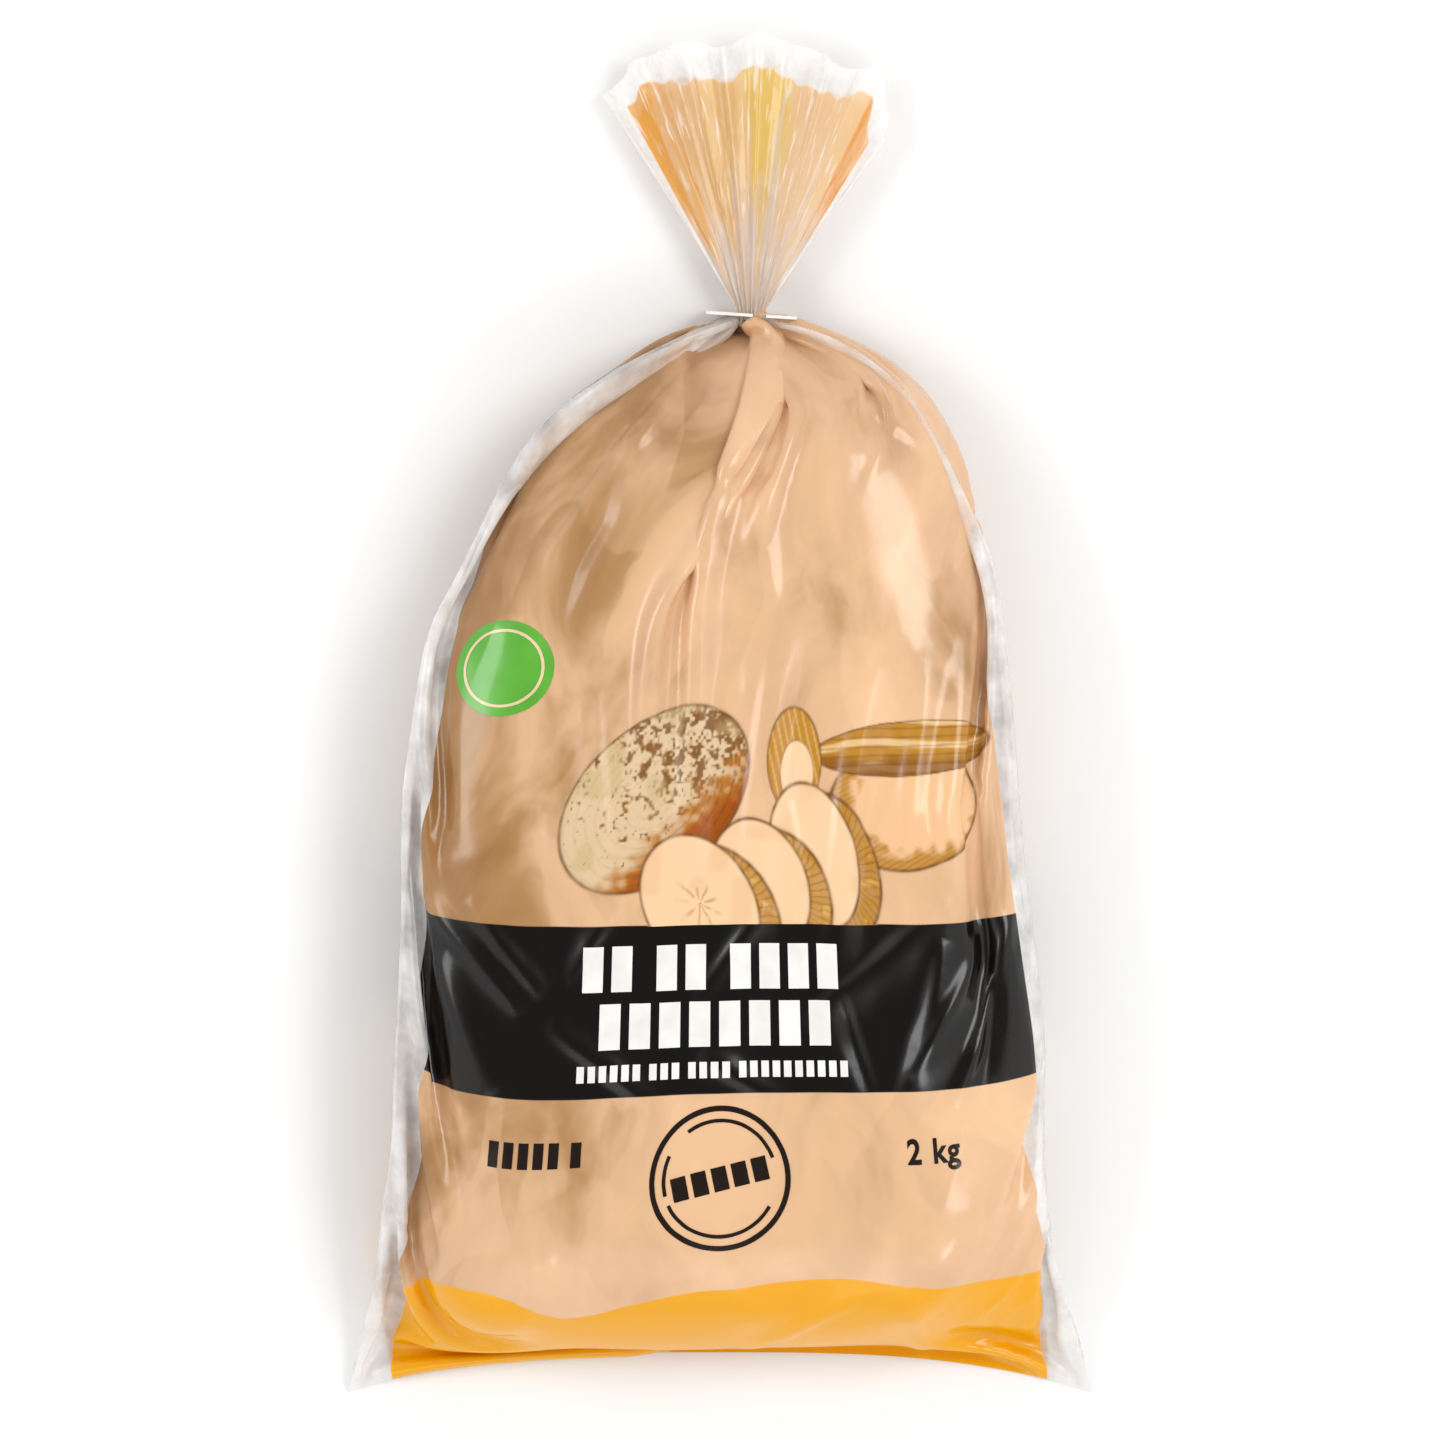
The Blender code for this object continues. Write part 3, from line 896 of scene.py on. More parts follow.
@dataclass
class BagOutline:
    """The filled bag's outline and heights, as (y, value) points in mm."""

    left: Table = (
        (-253.8, -140.0), (-226, -131.9), (-212, -129.3), (-187.6, -125.8), (-156, -121.3),
        (-109, -119.3), (-68, -117.7), (-27, -117.5), (8, -112.9), (27, -109.7), (38, -105.8),
        (52, -97.6), (68, -89.6), (99, -73.2), (112, -62.5), (124, -45), (134, -26), (142, -10),
        (147.5, 2.5),
    )
    right: Table = (
        (-253.8, 140.0), (-231, 134.2), (-217, 130.2), (-198.5, 123.6), (-186, 118.9), (-174, 118.4),
        (-119, 119.3), (-92, 116.7), (-52, 111.8), (8, 108.0), (44, 104.4), (60, 100.8), (75, 94.4),
        (94, 85.3), (118, 71.5), (129, 60.6), (138, 48.4), (144, 35.5), (147.5, 21.0),
    )
    side_height: Table = (
        (-253.8, 0.5), (-232, 3.0), (-205, 13.0), (-170, 25.0), (-120, 28.0), (85, 28.0), (125, 21.0),
        (149, 14.0),
    )
    top: Table = (
        (-238.8, 0.8), (-236, 10), (-232, 24), (-227, 38), (-220, 50), (-211, 58), (-198, 62), (-180, 62.8),
        (70, 62.8), (92, 61), (112, 54), (128, 43), (140, 31), (148, 20.2),
    )
    base: Table = (
        (-238.8, 0.4), (100, 0.4), (118, 1.2), (130, 3), (141, 5.5), (148, 7.6),
    )

    @staticmethod
    def at(table: Table, y: Array) -> Array:
        """Values of one table at places y, on straight lines between its points."""
        places, values = np.array(table).T
        return np.interp(y, places, values)

    @staticmethod
    def walk(places: Array, share: Array) -> Array:
        """Points along a polyline at shares of its length.

        Args:
            places: the polyline's points, one to a row.
            share: shares from 0 to 1.

        Returns:
            One point for each share.
        """
        steps = np.linalg.norm(np.diff(places, axis=0), axis=1)
        length = np.concatenate([[0], np.cumsum(steps)])
        return np.stack([np.interp(share * length[-1], length, axis) for axis in places.T], -1)


@dataclass(frozen=True)
class PrintSkew:
    """The print runs a little askew on the tube: v printed = v film + lean x u, from a height up."""

    lean: float = 0.028
    full: float = 130.0  # printed height from which the whole lean applies

    def printed(self, u: Array, v: Array) -> Array:
        """Printed height of film places."""
        low = v / (1 - self.lean * u / self.full)
        return np.where(low < self.full, low, v + self.lean * u)

    def on_film(self, u: Array, v: Array) -> Array:
        """Film height of printed places."""
        return v - self.lean * u * np.minimum(v / self.full, 1)


def step_up(value: Array, start: float, end: float) -> Array:
    """0 before start and 1 after end, with a smooth cubic between: t^2 (3 - 2t)."""
    t = np.clip((value - start) / (end - start), 0, 1)
    return t * t * (3 - 2 * t)


def cloudy(u: Array, v: Array, size: float, seed: int) -> Array:
    """Smooth noise from 0 to 1: random values on a lattice, blended by cubic steps.

    Args:
        u: places across, in mm.
        v: places up, in mm.
        size: the lattice's spacing in mm.
        seed: picks the values.

    Returns:
        One value for each place.
    """
    values = np.random.default_rng(seed).random((256, 256))
    i, j = np.floor(u / size).astype(int), np.floor(v / size).astype(int)
    p, q = step_up(u / size - i, 0, 1), step_up(v / size - j, 0, 1)
    low = values[i % 256, j % 256] * (1 - p) + values[(i + 1) % 256, j % 256] * p
    high = values[i % 256, (j + 1) % 256] * (1 - p) + values[(i + 1) % 256, (j + 1) % 256] * p
    return low * (1 - q) + high * q


@dataclass(frozen=True)
class Crease:
    """One fold in the film's front, along a path of places (u, v) in the flat sheet."""

    path: Table
    height: float = 1.3  # a groove where it is less than 0
    left: float = 3.2  # how wide it is on its left side, seen along the path
    right: float = 3.2

    def raised(self, u: Array, v: Array) -> Array:
        """How far the fold lifts the film at places on the flat front.

        height x exp(-(d / width)^2) x sin(pi s)^0.6, where d is the distance from the path and
        s the share of its length at the nearest place on it.

        Args:
            u: places across.
            v: places up.

        Returns:
            One height in mm for each place.
        """
        corners = np.array(self.path)
        starts, steps = corners[:-1], np.diff(corners, axis=0)
        lengths = np.hypot(*steps.T)
        before = np.concatenate([[0], np.cumsum(lengths)])
        offset = np.stack([u, v], -1)[..., None, :] - starts
        t = np.clip((offset * steps).sum(-1) / lengths**2, 0, 1)
        apart = offset - t[..., None] * steps
        distance = np.hypot(apart[..., 0], apart[..., 1])
        nearest = distance.argmin(-1)[..., None]
        turned = steps[:, 0] * offset[..., 1] - steps[:, 1] * offset[..., 0]
        gap, side, reached = (
            np.take_along_axis(values, nearest, -1)[..., 0]
            for values in (distance, turned, before[:-1] + t * lengths)
        )
        width = np.where(side > 0, self.left, self.right)
        taper = np.sin(math.pi * reached / before[-1]).clip(0) ** 0.6
        return self.height * np.exp(-((gap / width) ** 2)) * taper


@dataclass(frozen=True)
class Creasing:
    """All the folds in the film's front: those round the neck, and those across the print."""

    pull: Pull = Pull()
    streak_pitch: float = 15.0
    streak_height: float = 1.0
    folds: tuple[Crease, ...] = (
        Crease(((-58, 410), (-57, 389), (-63, 358)), -3.0, 3.4, 5.5),
        Crease(((-68, 412), (-74, 390), (-80, 362), (-88, 332)), -3.0, 3.4, 6.0),
        Crease(((-63, 412), (-65, 388), (-71, 360)), 1.6, 3.4, 3.4),
        Crease(((24, 362), (17, 350), (-6, 348), (-30, 352)), -1.6, 5.0, 4.0),
        Crease(((20, 350), (17, 330), (25, 290)), 1.2, 4.0, 9.0),
        Crease(((45, 398), (60, 371), (92, 352)), -2.6, 3.6, 6.5),
        Crease(((84, 392), (99, 376), (112, 350)), 1.3, 4.0, 6.0),
        Crease(((-73, 368), (-70, 337), (-74, 320), (-76, 290)), -1.8, 4.5, 8.0),
        Crease(((-119, 202), (-98, 186), (-76, 166)), 2.0, 5.5, 2.6),
        Crease(((-101, 204), (-85, 189), (-68, 172)), 1.7, 4.5, 2.6),
        Crease(((-112, 184), (-100, 162), (-86, 138)), 2.4, 8.0, 5.0),
        Crease(((-66, 163), (-44, 147), (-22, 131)), 1.7, 6.0, 3.0),
        Crease(((-42, 199), (-50, 190), (-59, 176)), 1.2, 2.6, 4.0),
        Crease(((92, 200), (62, 179), (32, 158)), 2.2, 9.0, 3.6),
        Crease(((88, 186), (81, 160), (66, 126)), 2.6, 9.0, 4.0),
        Crease(((122, 194), (104, 160), (85, 126)), 1.7, 3.6, 2.6),
        Crease(((110, 196), (91, 166), (71, 138)), 1.8, 4.2, 2.6),
        Crease(((108, 172), (99, 150), (89, 126)), 1.3, 3.0, 2.4),
        Crease(((46, 170), (51, 152), (58, 130)), -1.4, 2.6, 4.0),
        Crease(((19, 200), (4, 184), (-10, 167)), 1.3, 4.5, 2.6),
        Crease(((-8, 150), (8, 140), (26, 130)), 1.2, 5.0, 3.0),
        Crease(((56, 66), (30, 44), (8, 17)), 1.2, 3.0, 6.0),
        Crease(((67, 68), (73, 36), (78, -2)), 1.1, 3.0, 5.0),
        Crease(((-46, 128), (-43, 108), (-40, 82)), 1.3, 3.0, 7.0),
        Crease(((-82, 122), (-70, 100), (-66, 78)), 1.0, 3.0, 6.0),
        Crease(((36, 262), (27, 236), (33, 204)), 0.9, 3.0, 6.0),
    )

    def raised(self, u: Array, v: Array) -> Array:
        """How far the film's front stands out from its settled shape.

        The folds' sum, and streaks: 1 - |2n - 1|, cubed, of smooth noise n that is stretched
        along the pull, where a second noise is high. Both fade out towards the sides.

        Args:
            u: places across.
            v: places up.

        Returns:
            One height in mm for each place.
        """
        total = sum(fold.raised(u, v) for fold in self.folds)
        noise = cloudy(self.pull.drawn(u, v) + 5 * np.sin(v / 33 + u / 51), v * 0.17, self.streak_pitch, 31)
        ridge = (1 - np.abs(2 * noise - 1)) ** 3
        patch = step_up(cloudy(u, v * 0.7, 48.0, 32), 0.42, 0.7)
        patch = patch * step_up(v, 20, 60) * (1 - step_up(v, 380, 415))
        total = total + self.streak_height * ridge * patch
        return total * (1 - step_up(np.abs(u), 124, 138))


@dataclass
class FilmSheet:
    """The bag's film: a flat tube, sealed below, drawn over the potatoes and gathered above.

    The tube is a grid. Column 0 is its left side, the front comes first, then the right side
    and the back. The film barely stretches, folds easily, and rests on potatoes and table.
    """

    tubers: list[Tuber]
    neck: NeckPlace
    skew: PrintSkew
    outline: BagOutline = field(default_factory=BagOutline)
    creasing: Creasing = Creasing()
    lay_flat: float = 280.0
    columns: int = 200
    rows: int = 156
    fan_rows: int = 44
    fan_reach: Table = (
        (-1.0, 97.0), (-0.5, 101.0), (0.0, 101.5), (0.35, 98.0), (0.73, 97.5), (0.86, 88.0), (1.0, 78.0),
    )
    fan_half_angle: float = 34.2
    fan_turn: float = 1.6
    fan_pleats: int = 14
    fan_pleat_depth: float = 4.0
    section_points: int = 121  # on each half of a section of the first shape
    rounds: int = 900
    quick_rounds: int = 60
    inertia: float = 0.92  # share of its last move that a point carries on with
    weight: float = 0.01  # downward move in each round
    air: float = 0.0095  # outward move in each round
    hold: float = 0.95  # share of a stretch that is taken back, around and along
    shear: float = 0.35  # the same along the diagonals
    clearance: float = 1.0  # between the film and a potato
    watch: int = 30  # rounds between two looks at which points are near a potato
    watch_reach: float = 9.0
    floor: float = 0.15  # lowest place of the back
    front_floor: float = 0.5
    layer_gap: float = 0.3  # least height of the front above the back
    guide_pull: float = 0.5  # share of a move past sink or rise that is taken back
    side_pull: float = 0.2  # the same for the drawn outline
    middle_pull: float = 0.1  # the same for the front's middle line
    taut: float = 0.985  # share of its flat length that the film is drawn to
    ease: float = 1.012  # how much wider than the plump shape the film is where it is full
    smoothing: int = 14  # passes that round the plump shape along its length
    sink: float = 5.5  # how far the film may fall in from a plump bag's smooth shape
    neck_sink: float = 8.0  # the same, near the neck
    rise: float = 2.0  # how far it may stand out from it
    body: Array = field(init=False)  # the solved grid
    pitch: Array = field(init=False)  # flat distance between rows, by column

    # -------------------------------------------------- first shape

    def flat_u(self, columns: int) -> Array:
        """Distance of each column from the middle of its side of the flat tube."""
        place = np.arange(columns) * 2 * self.lay_flat / columns
        return np.where(place <= self.lay_flat, place - self.lay_flat / 2, 1.5 * self.lay_flat - place)

    def first_shape(self) -> Array:
        """A smooth filled bag, as the start for the film's settling.

        Every row is a closed section. Its upper half is z = seam + (top - seam)(1 - |c|^m)^q
        and its lower half is flat with round sides. The film is laid round it by arc length,
        evenly, from the middle of the front.

        Returns:
            The grid's points, rows by columns.
        """
        out, neck = self.outline, self.neck
        share = np.linspace(0, 1, self.rows + 1)
        y_neck = neck.y - neck.grip
        y_top, z_top = out.walk(np.array([*out.top, (y_neck, neck.z + neck.radius)]), share).T
        y_base, z_base = out.walk(np.array([*out.base, (y_neck, neck.z - neck.radius)]), share).T
        sides = []
        for table, lean in ((out.left, -1), (out.right, 1)):
            places = np.array([*table, (y_neck, neck.x + lean * neck.radius)])
            height = out.at(out.side_height, places[:, 0])
            y, x, z = out.walk(np.column_stack([places, height]), share).T
            sides.append((x, y, z))
        (x_left, y_left, z_left), (x_right, y_right, z_right) = sides
        cosine = np.cos(np.linspace(math.pi, 0, self.section_points))
        place = np.arange(self.columns) / self.columns
        grid = np.empty((self.rows + 1, self.columns, 3))
        plump = np.clip(share / 0.08, 0, 1)  # 0 at the seal, 1 where the section is full
        tight = np.clip((share - 0.82) / 0.18, 0, 1) ** 1.5  # 1 at the neck, where it is round
        for i in range(self.rows + 1):
            centre, reach = (x_left[i] + x_right[i]) / 2, (x_right[i] - x_left[i]) / 2
            x = centre + reach * cosine
            seam = z_left[i] + (z_right[i] - z_left[i]) * (cosine + 1) / 2
            order = 2.2 + 2.0 * plump[i] - 2.2 * tight[i] * plump[i]
            power = 1.6 - 1.1 * plump[i]
            c = np.abs(cosine)
            upper = seam + (z_top[i] - seam) * (1 - c**order) ** power
            sweep = np.clip((c - 0.66) / 0.34, 0, 1) * (1 - tight[i]) + c * tight[i]
            lower = z_base[i] + (seam - z_base[i]) * (1 - np.sqrt(1 - sweep**2))
            bend = c**3
            y_side = np.where(cosine < 0, y_left[i], y_right[i])
            over = np.stack([x, y_top[i] + (y_side - y_top[i]) * bend, upper], 1)
            under = np.stack([x, y_base[i] + (y_side - y_base[i]) * bend, lower], 1)[::-1]
            ring = np.vstack([over, under[1:]])
            steps = np.hypot(np.diff(ring[:, 0]), np.diff(ring[:, 2]))
            length = np.concatenate([[0], np.cumsum(steps)])
            front_middle = length[len(over) - 1] / 2
            want = (front_middle + (place - 0.25) * length[-1]) % length[-1]
            grid[i] = np.stack([np.interp(want, length, axis) for axis in ring.T], -1)
        for _ in range(self.smoothing):
            grid[1:-1] += (grid[:-2] + grid[2:] - 2 * grid[1:-1]) / 4
        return grid

    # -------------------------------------------------- settling

    @staticmethod
    def tie(a: Array, b: Array, rest: Array | float, stretch: float, press: Array | float) -> Array:
        """How far each of two sets of points moves to restore their distance.

        Args:
            a: the first points.
            b: the second points.
            rest: the distance that the film has there.
            stretch: share of a stretch that is taken back.
            press: share of a squeeze that is taken back.

        Returns:
            The move of the first points; the second move the other way.
        """
        gap = b - a
        length = np.sqrt(np.einsum("...i,...i->...", gap, gap)) + 1e-6
        share = 0.5 * np.where(length > rest, stretch, press) * (1 - rest / length)
        return gap * share[..., None]

    @staticmethod
    def normals(film: Array) -> Array:
        """Outward unit normals: the way round the film crossed with the way along it.

        Args:
            film: the film's points, rows by columns.

        Returns:
            One unit vector for each point.
        """
        ahead = np.empty_like(film)
        ahead[1:-1] = film[2:] - film[:-2]
        ahead[0], ahead[-1] = film[1] - film[0], film[-1] - film[-2]
        around = np.roll(film, -1, 1) - np.roll(film, 1, 1)
        out = np.cross(around, ahead)
        return out / (np.sqrt((out**2).sum(-1, keepdims=True)) + 1e-6)

    def settle(self, grid: Array, guide: Array, pitch: Array, rounds: int) -> Array:
        """Lets the film come to rest on what it holds.

        Each round carries every point on with most of its last move, adds a little weight and
        air, and then restores the film's distances one family at a time: around, along, the
        two diagonals, and every second point, which stiffens it against small folds.

        Args:
            grid: the film's points, rows by columns.
            guide: a smooth plump bag, with as many points.
            pitch: the flat distance between rows, by column.
            rounds: how many rounds to run.

        Returns:
            The settled points.
        """
        rows, columns = grid.shape[0] - 1, grid.shape[1]
        share = np.linspace(0, 1, rows + 1, dtype=np.float32)
        around = np.linalg.norm(np.roll(guide, -1, 1) - guide, axis=2).sum(1)
        full = 2 * self.lay_flat * self.taut
        snug = np.minimum(full, around * self.ease)
        free = np.clip((share - 0.6) / 0.2, 0, 1) ** 2
        step = ((snug + (full - snug) * free) / columns).astype(np.float32)[:, None]
        film = grid.astype(np.float32)
        last = film.copy()
        seal, ring = film[0].copy(), film[-1].copy()
        loose = np.clip((share - 0.66) / 0.26, 0, 1)
        firm = (0.75 * (1 - loose) ** 2)[:, None]
        stiff = 0.2 * (1 - 0.85 * loose)[:, None]
        across = np.broadcast_to(pitch.astype(np.float32), (rows, columns))
        slant = np.sqrt(across**2 + step[:-1] ** 2)
        half = columns // 2
        mirror = (columns - np.arange(half + 1)) % columns
        swell = (self.air * np.clip(share / 0.12, 0, 1) * np.clip((1 - share) / 0.1, 0.1, 1))[:, None, None]
        holds = [
            tuple(part.astype(np.float32) for part in (spud.centre, spud.axes, spud.radii + self.clearance))
            for spud in self.tubers
        ]
        guide = guide.astype(np.float32)
        normal = self.normals(guide)
        deep = (-self.sink - (self.neck_sink - self.sink) * np.clip((share - 0.7) / 0.2, 0, 1))[:, None]
        near: list[Array] = []
        for turn in range(rounds):
            move = (film - last) * self.inertia
            last = film.copy()
            film += move
            film[..., 2] -= self.weight
            film += self.normals(film) * swell
            for shift in (0, 1):
                film = np.roll(film, -shift, 1)
                a, b = film[:, 0::2], film[:, 1::2]
                change = self.tie(a, b, step, self.hold, firm)
                a += change
                b -= change
                film = np.roll(film, shift, 1)
            for start in (0, 1):
                a, b = film[start:-1:2], film[start + 1 :: 2]
                change = self.tie(a, b, across[start::2][: len(b)], self.hold, firm[start:-1:2])
                a += change
                b -= change
            for lean in (-1, 1):
                for start in (0, 1):
                    a, b = film[start:-1:2], np.roll(film[start + 1 :: 2], lean, 1)
                    rest, press = slant[start::2][: len(b)], self.shear * firm[start:-1:2]
                    change = self.tie(a, b, rest, self.shear, press)
                    a += change
                    film[start + 1 :: 2] -= np.roll(change, -lean, 1)
            for shift in (0, 2):
                film = np.roll(film, -shift, 1)
                fours = film.reshape(rows + 1, columns // 4, 4, 3)
                a, b = fours[:, :, 0:2], fours[:, :, 2:4]
                change = self.tie(a, b, 2 * step[:, :, None], 0.0, stiff[:, :, None])
                a += change
                b -= change
                film = np.roll(film, shift, 1)
            for start in range(4):
                a, b = film[start:-2:4], film[start + 2 :: 4]
                change = self.tie(a, b, 2 * pitch.astype(np.float32)[None], 0.0, stiff[start:-2:4])
                a += change
                b -= change
            points = film.reshape(-1, 3)
            if turn % self.watch == 0:
                near = [
                    np.flatnonzero(((points - centre) ** 2).sum(1) < (radii.max() + self.watch_reach) ** 2)
                    for centre, _, radii in holds
                ]
            for (centre, axes, radii), members in zip(holds, near):
                away = points[members] - centre
                depth = np.sqrt((((away @ axes.T) / radii) ** 2).sum(1))
                inside = depth < 1
                points[members[inside]] = centre + away[inside] / depth[inside, None]
            film = points.reshape(rows + 1, columns, 3)
            offset = ((film - guide) * normal).sum(-1)
            film += normal * (self.guide_pull * (np.clip(offset, deep, self.rise) - offset))[..., None]
            under = film[1:-1, half + 1 :, 2]
            np.maximum(under, self.floor, out=under)
            upper = film[1:-1, : half + 1, 2]
            np.maximum(upper, self.front_floor, out=upper)
            upper += np.maximum(film[1:-1, mirror, 2] + self.layer_gap - upper, 0)
            for column, table in ((0, self.outline.left), (half, self.outline.right)):
                want = self.outline.at(table, film[1:-1, column, 1])
                film[1:-1, column, 0] += self.side_pull * (want - film[1:-1, column, 0])
            middle = self.neck.x * np.clip((film[:, half // 2, 1] - 20) / 120, 0, 1) ** 2
            slip = self.middle_pull * (middle - film[:, half // 2, 0])[:, None]
            film[..., 0] += slip * normal[..., 2]
            film[..., 2] -= slip * normal[..., 0]
            film[0], film[-1] = seal, ring
        return film.astype(float)

    def solve(self) -> None:
        """Settles the film, on a coarse grid first and then on the full one."""
        plump = self.first_shape()
        grid = plump.copy()
        turn = self.turns(self.columns)
        grid[-1] = self.neck.ring(turn, self.neck.y - self.neck.grip)
        lengths = np.linalg.norm(np.diff(grid, axis=0), axis=2).sum(0)
        window = np.ones(13) / 13
        smooth = np.convolve(np.concatenate([lengths[-6:], lengths, lengths[:6]]), window, "valid")
        self.pitch = smooth * self.taut / self.rows
        coarse = grid[::2, ::2]
        rounds = self.rounds
        coarse = self.settle(coarse, coarse, self.pitch[::2] * 2, rounds)
        grid = cubic_doubled(cubic_doubled(coarse, closed=False).swapaxes(0, 1), closed=True).swapaxes(0, 1)
        grid[-1] = self.neck.ring(turn, self.neck.y - self.neck.grip)
        grid = self.settle(grid, plump, self.pitch, self.rounds // 2)
        self.body = grid

    def turns(self, columns: int) -> Array:
        """Angle of each column at the neck: the left side at half a turn, the front above."""
        return math.pi - np.arange(columns) * 2 * math.pi / columns

    # -------------------------------------------------- fan and finished grid

    def fan(self, columns: int) -> tuple[Array, Array]:
        """The open end above the neck, spread like a fan.

        A column's heading is turn + half angle x c, where c goes from -1 at the left side to 1
        at the right. Its height follows two slow waves and a narrow rounded ridge or groove
        for each pleat. They deepen towards the rim, and front and back share them.

        Args:
            columns: how many columns the finished film has.

        Returns:
            The points, row by row from the neck, and how far along the film each row is.
        """
        turn = self.turns(columns)
        c = self.flat_u(columns) / (self.lay_flat / 2)
        front = np.where(np.arange(columns) <= columns // 2, 1.0, -1.0)
        reach = np.interp(c, *np.array(self.fan_reach).T)
        reach = reach + 1.6 * np.sin(9.1 * c + 0.4) + 1.1 * np.sin(17.3 * c + 1.9)
        start = self.neck.ring(turn, self.neck.y + self.neck.grip)
        share = np.linspace(0, 1, self.fan_rows + 1)[:, None]
        random = np.random.default_rng(5)
        places = np.linspace(-0.94, 0.94, self.fan_pleats) + random.uniform(-0.06, 0.06, self.fan_pleats)
        widths = random.uniform(0.03, 0.1, self.fan_pleats)
        heights = random.uniform(0.35, 1.0, self.fan_pleats)
        heights = heights * np.where(random.random(self.fan_pleats) < 0.3, -1, 1)
        fold = 0.45 * np.sin(4.2 * c + 0.8) + 0.25 * np.sin(9.5 * c + 2.0)
        for place, width, height in zip(places, widths, heights):
            bent = c - place + 0.03 * share * math.sin(17 * place)
            fold = fold + height * np.exp(-np.abs(bent / width) ** 1.6)
        depth = self.fan_pleat_depth * share**0.8
        heading = np.radians(self.fan_turn + self.fan_half_angle * c)
        opened = (1 - c**2) ** 0.5 * (2.6 + 1.5 * share) * share
        x = start[:, 0] + reach * share * np.sin(heading)
        y = start[:, 1] + reach * share * np.cos(heading)
        middle = start[:, 2] * (1 - share) + (self.neck.z - 2.8) * share
        z = middle + depth * fold + front * opened
        return np.stack([x, y, z], -1), reach * share

    def finished(self) -> tuple[Array, Array]:
        """The whole film at twice the settled grid's density.

        Returns:
            The points, rows by columns, and each point's place in the flat sheet.
        """
        fine = cubic_doubled(self.body, closed=False)
        fine = cubic_doubled(fine.swapaxes(0, 1), closed=True).swapaxes(0, 1)
        columns = fine.shape[1]
        fine[-1] = self.neck.ring(self.turns(columns), self.neck.y - self.neck.grip)
        fan, beyond = self.fan(columns)
        pitch = cubic_doubled(self.pitch, closed=True) / 2
        v = np.arange(fine.shape[0])[:, None] * pitch
        v = np.vstack([v, v[-1] + 2 * self.neck.grip + beyond])
        u = np.broadcast_to(self.flat_u(columns), v.shape)
        front = slice(0, columns // 2 + 1)
        body = slice(1, fine.shape[0] - 1)
        lift = self.creasing.raised(u[body, front], v[body, front])
        fine[body, front] += self.normals(fine)[body, front] * lift[..., None]
        return np.concatenate([fine, fan]), np.stack([u, v], -1)


# ------------------------------------------------------------------ printing


